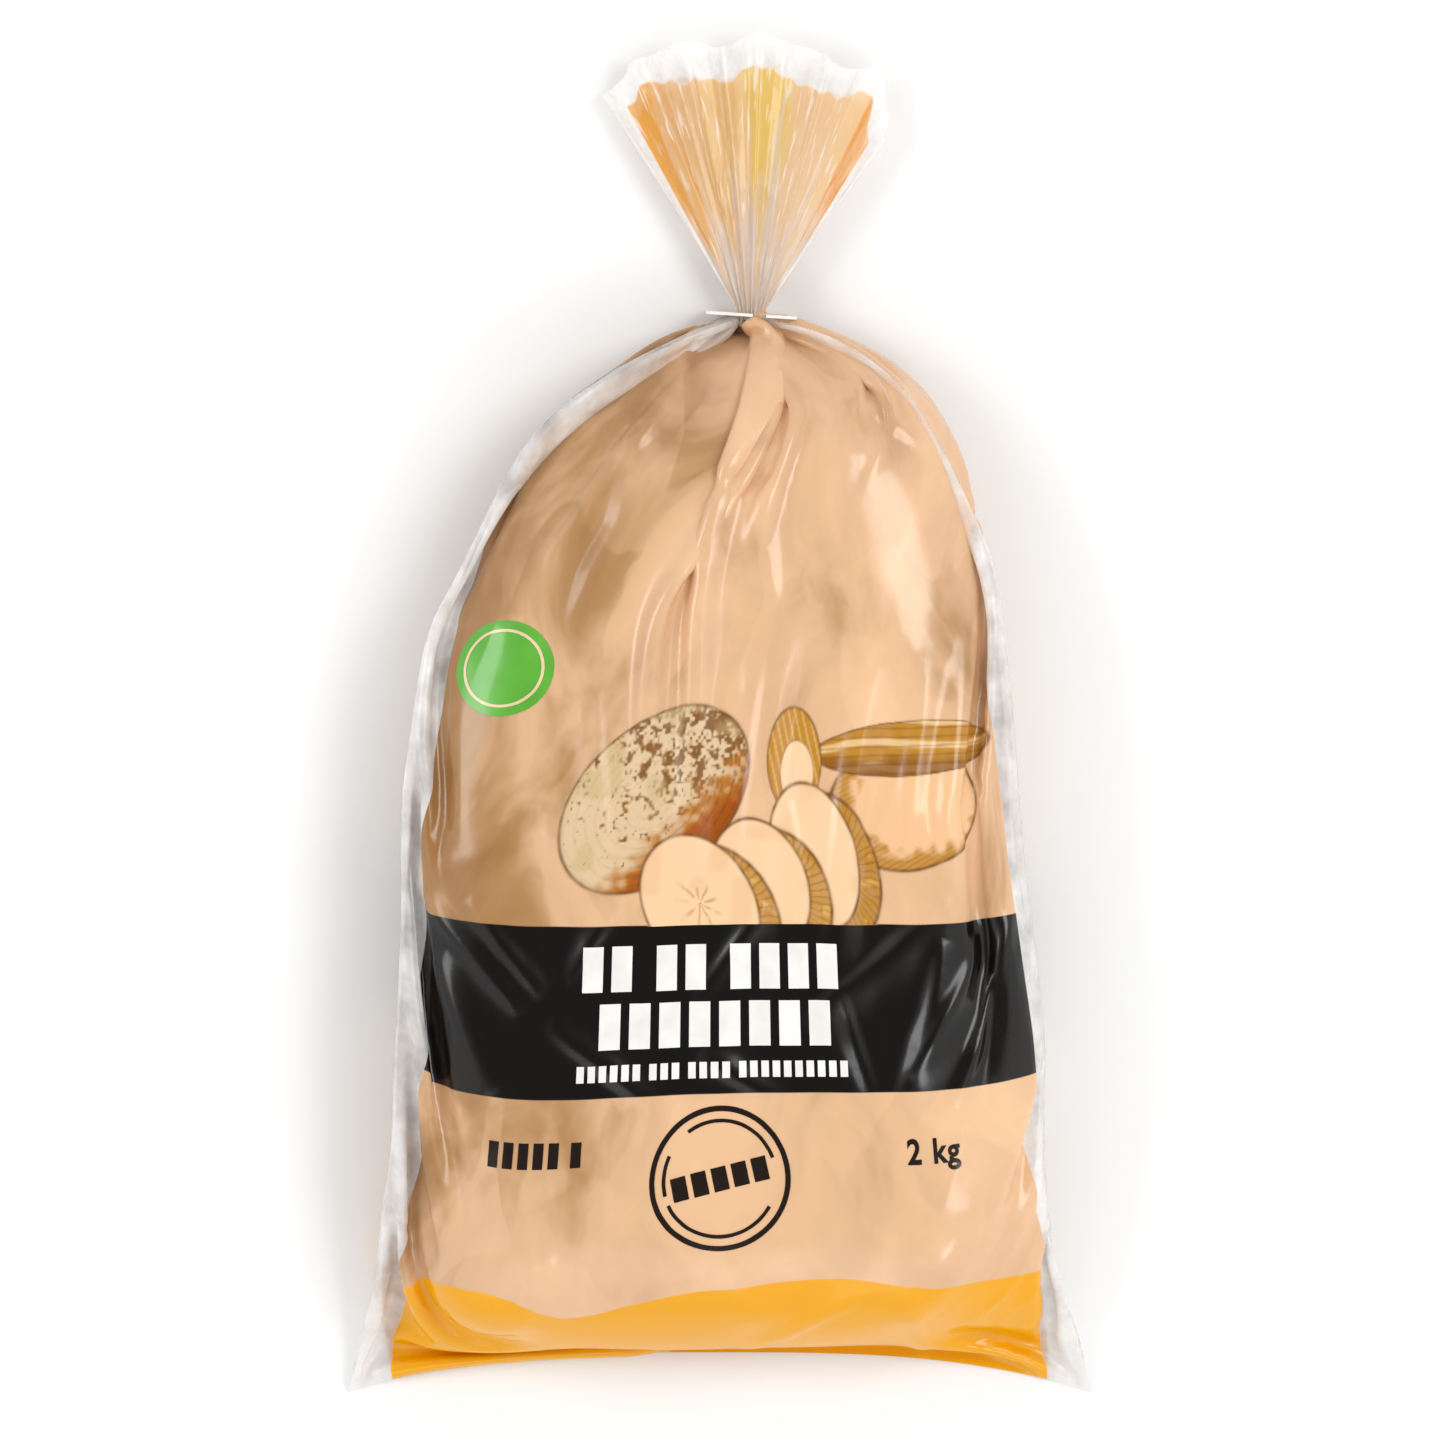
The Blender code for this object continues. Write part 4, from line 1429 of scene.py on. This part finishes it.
@dataclass
class Marks:
    """Flat shapes in one ink, each a fine grid, as places (u, v) in mm on the flat front."""

    step: float = 1.2  # longest side of a grid's cell
    letter_space: float = 1.12  # a thick k and g would touch at the font's own spacing
    points: list[Array] = field(default_factory=list)
    faces: list[Array] = field(default_factory=list)

    def add(self, points: Array, faces: Array) -> None:
        """Adds one shape.

        Args:
            points: its places (u, v), one to a row.
            faces: point numbers of each face.
        """
        count = sum(len(p) for p in self.points)
        self.points.append(points)
        self.faces.append(np.asarray(faces) + count)

    def bar(self, low: Place, high: Place, tilt: float = 0.0, about: Place = (0.0, 0.0)) -> None:
        """Adds a rectangle, turned about a point.

        Args:
            low: its lower left corner.
            high: its upper right corner.
            tilt: degrees anticlockwise.
            about: the point it turns about.
        """
        across = max(2, math.ceil((high[0] - low[0]) / self.step) + 1)
        up = max(2, math.ceil((high[1] - low[1]) / self.step) + 1)
        heights, places = np.linspace(low[1], high[1], up), np.linspace(low[0], high[0], across)
        v, u = np.meshgrid(heights, places, indexing="ij")
        flat = np.stack([u, v], -1).reshape(-1, 2) - about
        angle = math.radians(tilt)
        turned = flat @ np.array([[math.cos(angle), math.sin(angle)], [-math.sin(angle), math.cos(angle)]])
        self.add(turned + about, grid_faces(up, across))

    def row(self, low: Place, high: Place, words: Iterable[int], gap: float, **turn: Any) -> None:
        """Adds a row of equal upright blocks in groups, where a line of lettering would stand.

        Args:
            low: lower left corner of the whole row.
            high: its upper right corner.
            words: how many blocks stand in each group.
            gap: space between blocks, as a share of a block's width; groups stand 1.2 blocks apart.
            turn: tilt and about, as for a bar.
        """
        words = list(words)
        blocks, between = sum(words), 1.2
        units = blocks + (blocks - len(words)) * gap + (len(words) - 1) * between
        width = (high[0] - low[0]) / units
        place = low[0]
        for word in words:
            for _ in range(word):
                self.bar((place, low[1]), (place + width, high[1]), **turn)
                place += width * (1 + gap)
            place += width * (between - gap)

    def ring(
        self,
        centre: Place,
        inner: float,
        outer: float,
        start: float = 0.0,
        turn: float = 360.0,
        wide: float = 1.0,
    ) -> None:
        """Adds a ring or a part of one, or a disc where inner is nearly nothing.

        Args:
            centre: its middle.
            inner: its inner radius.
            outer: its outer radius.
            start: degrees from the right at which it starts.
            turn: degrees that it runs on, anticlockwise.
            wide: its width as a share of its height.
        """
        sides = math.ceil(math.radians(turn) * outer / self.step)
        belts = max(2, math.ceil((outer - inner) / self.step) + 1)
        round_it = turn >= 360
        angles = np.radians(start + np.linspace(0, turn, sides + 1)[: sides if round_it else None])
        radius, angle = np.meshgrid(np.linspace(outer, inner, belts), angles, indexing="ij")
        flat = np.stack([np.cos(angle) * wide, np.sin(angle)], -1) * radius[..., None] + centre
        self.add(flat.reshape(-1, 2), grid_faces(belts, len(angles), closed=round_it))

    def lettering(self, words: str, low: Place, high: Place, weight: float) -> None:
        """Adds a plain generic marking, such as a weight, in Blender's own font.

        Args:
            words: the marking.
            low: lower left corner of the space that it fills.
            high: its upper right corner.
            weight: how far the letters are thickened, as a share of their size.
        """
        curve = bpy.data.curves.new("marking", "FONT")
        curve.body, curve.offset, curve.space_character = words, weight, self.letter_space
        holder = bpy.data.objects.new("marking", curve)
        bpy.context.scene.collection.objects.link(holder)
        bpy.context.view_layer.update()
        shape = bpy.data.meshes.new_from_object(holder.evaluated_get(bpy.context.evaluated_depsgraph_get()))
        bpy.data.objects.remove(holder)
        fine = bmesh.new()
        fine.from_mesh(shape)
        bmesh.ops.triangulate(fine, faces=fine.faces)
        bmesh.ops.subdivide_edges(fine, edges=fine.edges, cuts=2, use_grid_fill=True)
        bmesh.ops.triangulate(fine, faces=fine.faces)
        flat = np.array([v.co[:2] for v in fine.verts])
        faces = np.array([[v.index for v in f.verts] for f in fine.faces])
        fine.free()
        least, most = flat.min(0), flat.max(0)
        flat = np.array(low) + (flat - least) / (most - least) * (np.array(high) - low)
        a, b, c = (flat[faces[:, i]] for i in range(3))
        backwards = np.cross(b - a, c - a) < 0
        faces[backwards] = faces[backwards][:, ::-1]
        self.add(flat, faces)


@dataclass
class Printer:
    """Lays flat shapes on the front of the film, a hair above it."""

    points: Array
    flat: Array
    normals: Array
    lay_flat: float
    skew: PrintSkew

    def place(self, marks: Array, lift: float) -> Array:
        """Where places on the flat front are in space.

        Between the film's points, places and normals are on straight lines both ways.

        Args:
            marks: one (u, v) to a row, in mm.
            lift: distance from the film in mm.

        Returns:
            One point in space to a row.
        """
        columns = self.points.shape[1]
        across = np.clip((marks[:, 0] / self.lay_flat + 0.5) * (columns - 1), 0, columns - 1.001)
        j, right = across.astype(int), (across % 1)
        pitch = self.flat[1, :, 1] - self.flat[0, :, 1]
        height = self.skew.on_film(marks[:, 0], marks[:, 1])
        along = height / (pitch[j] * (1 - right) + pitch[j + 1] * right)
        i, up = along.astype(int), along % 1
        surface = self.points + self.normals * lift
        right, up = right[:, None], up[:, None]
        lower = surface[i, j] * (1 - right) + surface[i, j + 1] * right
        upper = surface[i + 1, j] * (1 - right) + surface[i + 1, j + 1] * right
        return lower * (1 - up) + upper * up

    def lay(self, name: str, marks: Marks, ink: bpy.types.Material, lift: float = 0.16) -> bpy.types.Object:
        """Makes one printed piece.

        Args:
            name: the piece's name.
            marks: its shapes.
            ink: its material.
            lift: distance from the film in mm.

        Returns:
            The piece, riding with the bag.
        """
        flat = np.vstack(marks.points)
        faces = [face for group in marks.faces for face in group.tolist()]
        piece = put_mesh(name, self.place(flat, lift), faces, ink, {"flat_sheet": flat})
        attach(piece, "root")
        LOG.info("%s: %d faces", name, len(faces))
        return piece


@dataclass(frozen=True)
class Oval:
    """An ellipse in the drawing."""

    centre: Place
    size: Place  # half its length and half its width
    tilt: float  # degrees anticlockwise

    def within(self, u: Array, v: Array) -> tuple[Array, Array, Array]:
        """Local coordinates and radius.

        Args:
            u: places across.
            v: places up.

        Returns:
            Coordinates along its length and its width, 1 at its ends, and the radius, 1 on its edge.
        """
        angle = math.radians(self.tilt)
        du, dv = u - self.centre[0], v - self.centre[1]
        a = (du * math.cos(angle) + dv * math.sin(angle)) / self.size[0]
        b = (-du * math.sin(angle) + dv * math.cos(angle)) / self.size[1]
        return a, b, np.hypot(a, b)

    def shifted(self, right: float, up: float, grow: float = 1.0) -> Oval:
        """A copy moved and scaled."""
        centre = (self.centre[0] + right, self.centre[1] + up)
        return Oval(centre, (self.size[0] * grow, self.size[1] * grow), self.tilt)


@dataclass
class Page:
    """Inks laid one over another at places on the flat front."""

    u: Array
    v: Array
    ground: str
    inks: Array = field(init=False)  # linear red, green, blue and cover of each place
    fine: Array = field(init=False)  # smooth noise, with three sizes of blot
    middle: Array = field(init=False)
    broad: Array = field(init=False)

    def __post_init__(self) -> None:
        """Starts with the ground's colour at no cover, and works out the noises."""
        self.inks = np.zeros((*self.u.shape, 4))
        self.inks[..., :3] = linear(self.ground)[:3]
        self.fine, self.middle, self.broad = (
            cloudy(self.u, self.v, size, seed) for size, seed in ((1.1, 1), (3.2, 2), (9.0, 3))
        )

    def cover(self, ink: str, share: Array) -> None:
        """Lays an ink over the others.

        Args:
            ink: its hex colour.
            share: how much of it each place takes, from 0 to 1.
        """
        share = np.clip(share, 0, 1)[..., None]
        self.inks[..., :3] = self.inks[..., :3] * (1 - share) + np.array(linear(ink)[:3]) * share
        self.inks[..., 3:] = self.inks[..., 3:] * (1 - share) + share

    def outline(self, shape: Oval, ink: str, width: float, share: float) -> None:
        """Draws a shape's edge as a narrow bell, exp(-(d / width)^2), uneven in strength.

        Args:
            shape: the oval.
            ink: the line's hex colour.
            width: the line's half width in mm.
            share: how dark the line is, from 0 to 1.
        """
        radius = shape.within(self.u, self.v)[2]
        distance = (radius - 1) * sum(shape.size) / 2
        self.cover(ink, np.exp(-((distance / width) ** 2)) * share * (0.6 + 0.5 * self.middle))


@dataclass
class InkDrawing:
    """A generic drawing of a whole potato, a halved one, a wedge and three slices, in brown inks.

    Each shape covers what is behind it. An edge is a soft step of the oval's radius, an outline
    a narrow bell around it, and hatching a sine of the radius or of the angle.
    """

    low: Place = (-68.0, 193.6)
    high: Place = (122.6, 272.0)
    step: float = 0.5
    whole: Oval = Oval((-26.5, 237.5), (42.0, 27.5), 33.0)
    bowl: Oval = Oval((77.0, 236.0), (33.0, 23.0), 10.0)
    hollow: Oval = Oval((80.0, 255.5), (41.0, 9.5), 5.0)
    wedge: Oval = Oval((30.5, 250.0), (18.5, 11.0), 88.0)
    slices: tuple[Oval, ...] = (
        Oval((38.0, 217.0), (26.0, 17.0), 108.0),
        Oval((16.0, 207.0), (24.0, 18.5), 118.0),
        Oval((-8.0, 201.0), (27.0, 20.0), 134.0),
    )
    line: str = "6E4216"
    speck: str = "6E5A40"
    umber: str = "7D5226"
    shadow: str = "8A5518"
    tan: str = "9C6A30"
    rust: str = "A04E10"
    star: str = "B98A45"
    amber: str = "B9752B"
    gold: str = "BC842C"
    husk: str = "C9AE7C"
    straw: str = "DCC098"
    honey: str = "DFB569"
    wheat: str = "E3BE7C"
    blush: str = "E7B98C"
    sheen: str = "E9C48C"
    cream: str = "EDBE8E"
    flesh: str = "F0CBA0"

    def draw_whole(self, page: Page) -> None:
        """Draws the whole potato: pale above left, freckled above right, rust brown below.

        Args:
            page: takes the inks.
        """
        fine, middle, broad = page.fine, page.middle, page.broad
        a, b, radius = self.whole.within(page.u, page.v)
        inside = 1 - step_up(radius, 0.985, 1.015)
        page.cover(self.straw, inside)
        freckles = 0.55 * middle + 0.45 * fine + 0.35 * (a * 0.8 + b * 0.35) - 0.1 * radius
        page.cover(self.tan, inside * step_up(freckles, 0.52, 0.72) * 0.9)
        scabs = fine * 0.6 + middle * 0.4 + 0.3 * (a + 0.3 * b)
        page.cover(self.umber, inside * step_up(scabs, 0.62, 0.8) * 0.8)
        page.cover(self.husk, inside * step_up(broad, 0.55, 0.8) * 0.6)
        shade = -b * 0.95 + a * 0.12 + 0.35 * (middle - 0.5)
        page.cover(self.amber, inside * step_up(shade, 0.22, 0.62))
        page.cover(self.rust, inside * step_up(-b + 0.12 * a + 0.25 * (middle - 0.5), 0.5, 0.8))
        curve = np.sin(radius * 60 + 3 * broad)
        dark = 0.15 + 0.5 * step_up(-b + 0.2 * a, 0.1, 0.8)
        page.cover(self.line, inside * step_up(curve, 0.3, 1) * dark * fine)
        page.cover(self.speck, inside * step_up(fine, 0.9, 0.97) * 0.9)
        page.outline(self.whole, self.line, 0.7, 0.85)

    def draw_halved(self, page: Page) -> None:
        """Draws the halved potato: a bowl hatched at its left and foot, and its dark hollow.

        Args:
            page: takes the inks.
        """
        middle, broad = page.middle, page.broad
        a, b, radius = self.bowl.within(page.u, page.v)
        inside = 1 - step_up(radius, 0.985, 1.015)
        page.cover(self.cream, inside)
        rim = step_up(radius + 0.3 * (middle - 0.5) - 0.25 * a - 0.1 * b, 0.75, 1.0)
        page.cover(self.gold, inside * rim * 0.9)
        page.cover(self.line, inside * rim * step_up(np.sin((page.v - 0.5 * page.u) * 3.4), 0.2, 0.9) * 0.3)
        page.outline(self.bowl, self.line, 0.75, 0.95)
        a, b, radius = self.hollow.within(page.u, page.v)
        inside = 1 - step_up(radius, 0.97, 1.03)
        page.cover(self.gold, inside)
        page.cover(self.sheen, inside * step_up(np.sin(b * 7 + 1.2 * np.sin(a * 3) + broad), 0.3, 0.9) * 0.85)
        page.cover(self.shadow, inside * step_up(-b - 0.2 * a + 0.3 * (broad - 0.5), 0.1, 0.6) * 0.85)
        page.cover(self.line, inside * step_up(np.sin(b * 19 + 2 * np.sin(a * 2)), 0.55, 1) * 0.45)
        page.outline(self.hollow, self.line, 0.75, 0.95)

    def draw_wedge(self, page: Page) -> None:
        """Draws an upright wedge with a pale face.

        Args:
            page: takes the inks.
        """
        inside = 1 - step_up(self.wedge.within(page.u, page.v)[2], 0.98, 1.02)
        page.cover(self.gold, inside)
        page.cover(self.wheat, inside * step_up(np.sin(page.u * 2.2 + page.v * 0.5), 0.3, 0.9) * 0.5)
        page.outline(self.wedge, self.line, 0.5, 0.9)
        face = self.wedge.shifted(1.0, -4.5, 0.62)
        page.cover(self.flesh, 1 - step_up(face.within(page.u, page.v)[2], 0.97, 1.03))
        page.outline(face, self.line, 0.35, 0.6)

    def draw_slice(self, page: Page, face: Oval, starred: bool) -> None:
        """Draws a slice: a gold rind with a pale face before it.

        Args:
            page: takes the inks.
            face: the slice's face.
            starred: whether rays show round the face's middle.
        """
        middle, broad = page.middle, page.broad
        rind = face.shifted(8.5, -3.6)
        a, b, radius = rind.within(page.u, page.v)
        inside = 1 - step_up(radius, 0.985, 1.015)
        page.cover(self.gold, inside * (0.75 + 0.3 * middle))
        page.cover(self.honey, inside * step_up(middle * 0.6 + broad * 0.4, 0.5, 0.75) * 0.7)
        around = np.arctan2(a, b)
        page.cover(self.line, inside * step_up(np.sin(around * 46 + 4 * middle), 0.4, 1) * 0.4)
        page.outline(rind, self.line, 0.75, 0.95)
        a, b, radius = face.within(page.u, page.v)
        inside = 1 - step_up(radius, 0.985, 1.015)
        page.cover(self.flesh, inside)
        page.cover(self.blush, inside * step_up(broad, 0.5, 0.8) * 0.5)
        page.outline(face, self.line, 0.6, 0.95)
        if starred:
            around = np.arctan2(b, a)
            rays = step_up(np.sin(around * 9 + 2 * broad), 0.35, 0.9) * (1 - step_up(radius, 0.1, 0.5))
            page.cover(self.star, inside * rays * step_up(middle, 0.3, 0.6) * 0.8)

    def paint(self, u: Array, v: Array) -> Array:
        """The inks' colour and cover at places on the flat front.

        Args:
            u: places across, in mm.
            v: places up, in mm.

        Returns:
            Linear red, green, blue and cover for each place.
        """
        page = Page(u, v, self.flesh)
        self.draw_whole(page)
        self.draw_halved(page)
        self.draw_wedge(page)
        for number, face in enumerate(self.slices, 1):
            self.draw_slice(page, face, starred=number == len(self.slices))
        return page.inks

    def build(self, printer: Printer, ink: bpy.types.Material) -> None:
        """Draws on a fine grid, leaving out cells without ink.

        Args:
            printer: lays the grid on the film.
            ink: the drawing's material.
        """
        counts = [round((h - l) / self.step) + 1 for l, h in zip(self.low, self.high)]
        u, v = np.meshgrid(*(np.linspace(l, h, n) for l, h, n in zip(self.low, self.high, counts)))
        picture = self.paint(u, v)
        # the ink fades out just before the edge of the printed ground
        picture[..., 3] *= 1 - step_up(u, self.high[0] - 0.6, self.high[0])
        faces = grid_faces(*u.shape)
        inked = picture[..., 3].ravel() > 0.01
        faces = faces[inked[faces].any(1)]
        used, renumbered = np.unique(faces, return_inverse=True)
        flat = np.stack([u.ravel(), v.ravel()], -1)[used]
        marks = Marks()
        marks.add(flat, renumbered.reshape(faces.shape))
        piece = printer.lay("print_drawing", marks, ink, 0.12)
        attribute = piece.data.attributes.new("ink", "FLOAT_COLOR", "POINT")
        attribute.data.foreach_set("color", picture.reshape(-1, 4)[used].astype(np.float32).ravel())


@dataclass
class Artwork:
    """Everything printed on the front besides the film's own colours.

    Plain blocks stand where words would. The weight is the only lettering.
    """

    printer: Printer
    white: FlexoInk = FlexoInk("white_flexo_ink", "F1EEEA")
    black: FlexoInk = FlexoInk("black_flexo_ink", "1F140E")
    green: FlexoInk = FlexoInk("green_flexo_ink", "5FAE3C")
    pale: FlexoInk = FlexoInk("pale_flexo_ink", "E9CFA6")
    weight: str = "2 kg"
    stamp_centre: Place = (0.0, 106.0)
    stamp_tilt: float = 12.0
    badge_centre: Place = (-94.5, 281.5)
    badge_radius: float = 16.5
    badge_width: float = 1.3  # share of its height, so that it looks round where the bag's side falls away

    def build(self) -> None:
        """Lays the headline, the small lines, the stamp, the badge and the drawing."""
        InkDrawing().build(self.printer, DrawingInk().material())
        white, black = self.white.material(), self.black.material()
        headline = Marks()
        headline.row((-53.0, 171.4), (45.5, 187.0), (2, 2, 4), 0.42)
        headline.row((-46.0, 151.8), (42.0, 167.4), (8,), 0.42)
        headline.row((-54.0, 141.0), (48.0, 146.6), (6, 3, 4, 10), 0.5)
        self.printer.lay("print_headline", headline, white)
        small = Marks()
        small.row((-86.0, 113.0), (-50.8, 121.3), (5, 1), 0.5)
        small.lettering(self.weight, (68.3, 107.0), (88.0, 119.0), 0.026)
        self.printer.lay("print_small_lines", small, black)
        stamp = Marks()
        stamp.ring(self.stamp_centre, 23.5, 25.4)
        for start, turn in ((20, 105), (155, 40), (205, 125)):
            stamp.ring(self.stamp_centre, 19.6, 20.9, start, turn)
        left, low = self.stamp_centre[0] - 17.5, self.stamp_centre[1] - 4.2
        turn = {"tilt": self.stamp_tilt, "about": self.stamp_centre}
        stamp.row((left, low), (left + 35, low + 8.4), (5,), 0.35, **turn)
        self.printer.lay("print_stamp", stamp, black)
        badge, detail = Marks(), Marks()
        badge.ring(self.badge_centre, 0.01, self.badge_radius, wide=self.badge_width)
        self.printer.lay("print_badge", badge, self.green.material())
        inner, outer = (self.badge_radius * share for share in (0.76, 0.82))
        detail.ring(self.badge_centre, inner, outer, wide=self.badge_width)
        self.printer.lay("print_badge_ring", detail, self.pale.material(), 0.3)


# ------------------------------------------------------------------ bag, studio


@dataclass
class Bag:
    """The film bag as two panels, with its print."""

    film: FilmSheet

    def build(self) -> None:
        """Settles the film and makes its pieces."""
        self.film.solve()
        points, flat = self.film.finished()
        rows, columns = points.shape[:2]
        half = columns // 2
        rim = np.stack([flat[..., 0], flat[-1, :, 1] - flat[..., 1]], -1)
        neck = float(flat[2 * self.film.rows, half // 2, 1])
        printed = np.stack([flat[..., 0], self.film.skew.printed(flat[..., 0], flat[..., 1])], -1)
        finish = PrintedFilm(neck)
        for panel, index in (
            (Panel.FRONT, np.arange(half + 1)),
            (Panel.BACK, np.arange(half, columns + 1, 2) % columns),
        ):
            maps = {"flat_sheet": printed[:, index].reshape(-1, 2), "from_rim": rim[:, index].reshape(-1, 2)}
            faces = grid_faces(rows, len(index))
            places = points[:, index].reshape(-1, 3)
            piece = put_mesh(panel.value, places, faces, finish.material(panel), maps)
            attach(piece, "root")
            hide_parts("bag_film")
            LOG.info("%s: %d faces", panel.value, len(faces))
        front = slice(0, half + 1)
        normals = FilmSheet.normals(points)
        grids = (values[:, front] for values in (points, flat, normals))
        Artwork(Printer(*grids, self.film.lay_flat, self.film.skew)).build()


@dataclass(frozen=True)
class Studio:
    """A pale table, soft light and a camera straight above."""

    lens: float = 180.0
    sensor: float = 36.0
    height: float = 2709.5  # puts 541.9 mm across the picture at the table
    floor_colour: str = "F7F7F6"
    floor_reach: float = 3000.0
    floor_gap: float = 0.2  # under the bag's lowest place
    shift: float = -0.94  # the camera's place along the bag, in mm
    lamps: tuple[tuple[str, tuple[float, float, float], float, float], ...] = (  # metres and watts
        ("key_light", (0.75, 0.35, 1.2), 0.6, 6.4),
        ("front_light", (-0.3, -1.1, 1.1), 1.0, 2.2),
        ("side_light", (-1.1, 0.3, 0.9), 0.55, 4.6),
        ("low_light", (0.7, -0.8, 1.1), 0.38, 2.6),
    )
    room: float = 0.86
    overhead: float = 0.16  # the room is darker straight above, behind the camera

    def build(self) -> None:
        """Makes the floor, the room, the lamps and the camera."""
        bpy.context.scene.view_settings.view_transform = "Standard"
        self.make_floor()
        self.make_room()
        self.make_lamps()
        self.make_camera()

    def make_floor(self) -> None:
        """Makes a wide square table, a hair below the bag."""
        material, _, shader = new_material("pale_table")
        shader.inputs["Base Color"].default_value = linear(self.floor_colour)
        shader.inputs["Roughness"].default_value = 0.9
        corners = np.array([[-1, -1, 0], [1, -1, 0], [1, 1, 0], [-1, 1, 0]]) * self.floor_reach
        corners = corners - [0, 0, self.floor_gap]
        put_mesh("table", corners, [[0, 1, 2, 3]], material)

    def make_room(self) -> None:
        """Makes a white room that is darker straight above."""
        world = bpy.data.worlds.new("soft_room")
        world.use_nodes = True
        tree = world.node_tree
        heading = node(tree, "TexCoord").outputs["Generated"]
        up = node(tree, "SeparateXYZ", links={0: heading}).outputs["Z"]
        strength = node(
            tree,
            "MapRange",
            {"From Min": 0.74, "From Max": 0.97, "To Min": self.room, "To Max": self.overhead},
            {"Value": up},
        )
        background = tree.nodes["Background"]
        background.inputs["Color"].default_value = linear("FFFFFF")
        tree.links.new(strength.outputs[0], background.inputs["Strength"])
        bpy.context.scene.world = world

    def make_lamps(self) -> None:
        """Makes the square lamps, each turned to the middle of the bag."""
        for name, place, size, power in self.lamps:
            data = bpy.data.lights.new(name, "AREA")
            data.size, data.energy = size, power
            lamp = bpy.data.objects.new(name, data)
            lamp.location = place
            lamp.rotation_euler = Vector(place).to_track_quat("Z", "Y").to_euler()
            bpy.context.scene.collection.objects.link(lamp)

    def make_camera(self) -> None:
        """Makes the camera, looking straight down."""
        data = bpy.data.cameras.new("camera")
        data.lens, data.sensor_width = self.lens, self.sensor
        data.clip_end = 20.0
        camera = bpy.data.objects.new("camera", data)
        camera.location = (0.0, self.shift * MM, self.height * MM)
        bpy.context.scene.collection.objects.link(camera)
        bpy.context.scene.camera = camera


def main() -> None:
    """Builds the bag, its contents, the camera and the light."""
    logging.basicConfig(level=logging.INFO, format="%(message)s")
    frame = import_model()
    names = sorted(name for name in frame["nodes"] if name.startswith("potato_"))
    tubers = [Tuber.measured(name, frame["nodes"][name]) for name in names]
    Potatoes(tubers).build(PotatoSkin().material())
    low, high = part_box("neck_closure")
    Bag(FilmSheet(tubers, NeckPlace(*((low + high) / 2 / MM)), PrintSkew())).build()
    frame["nodes"]["neck_closure"].material_slots[0].material = MouldedTag().material()
    Studio().build()


if __name__ == "__main__":
    main()
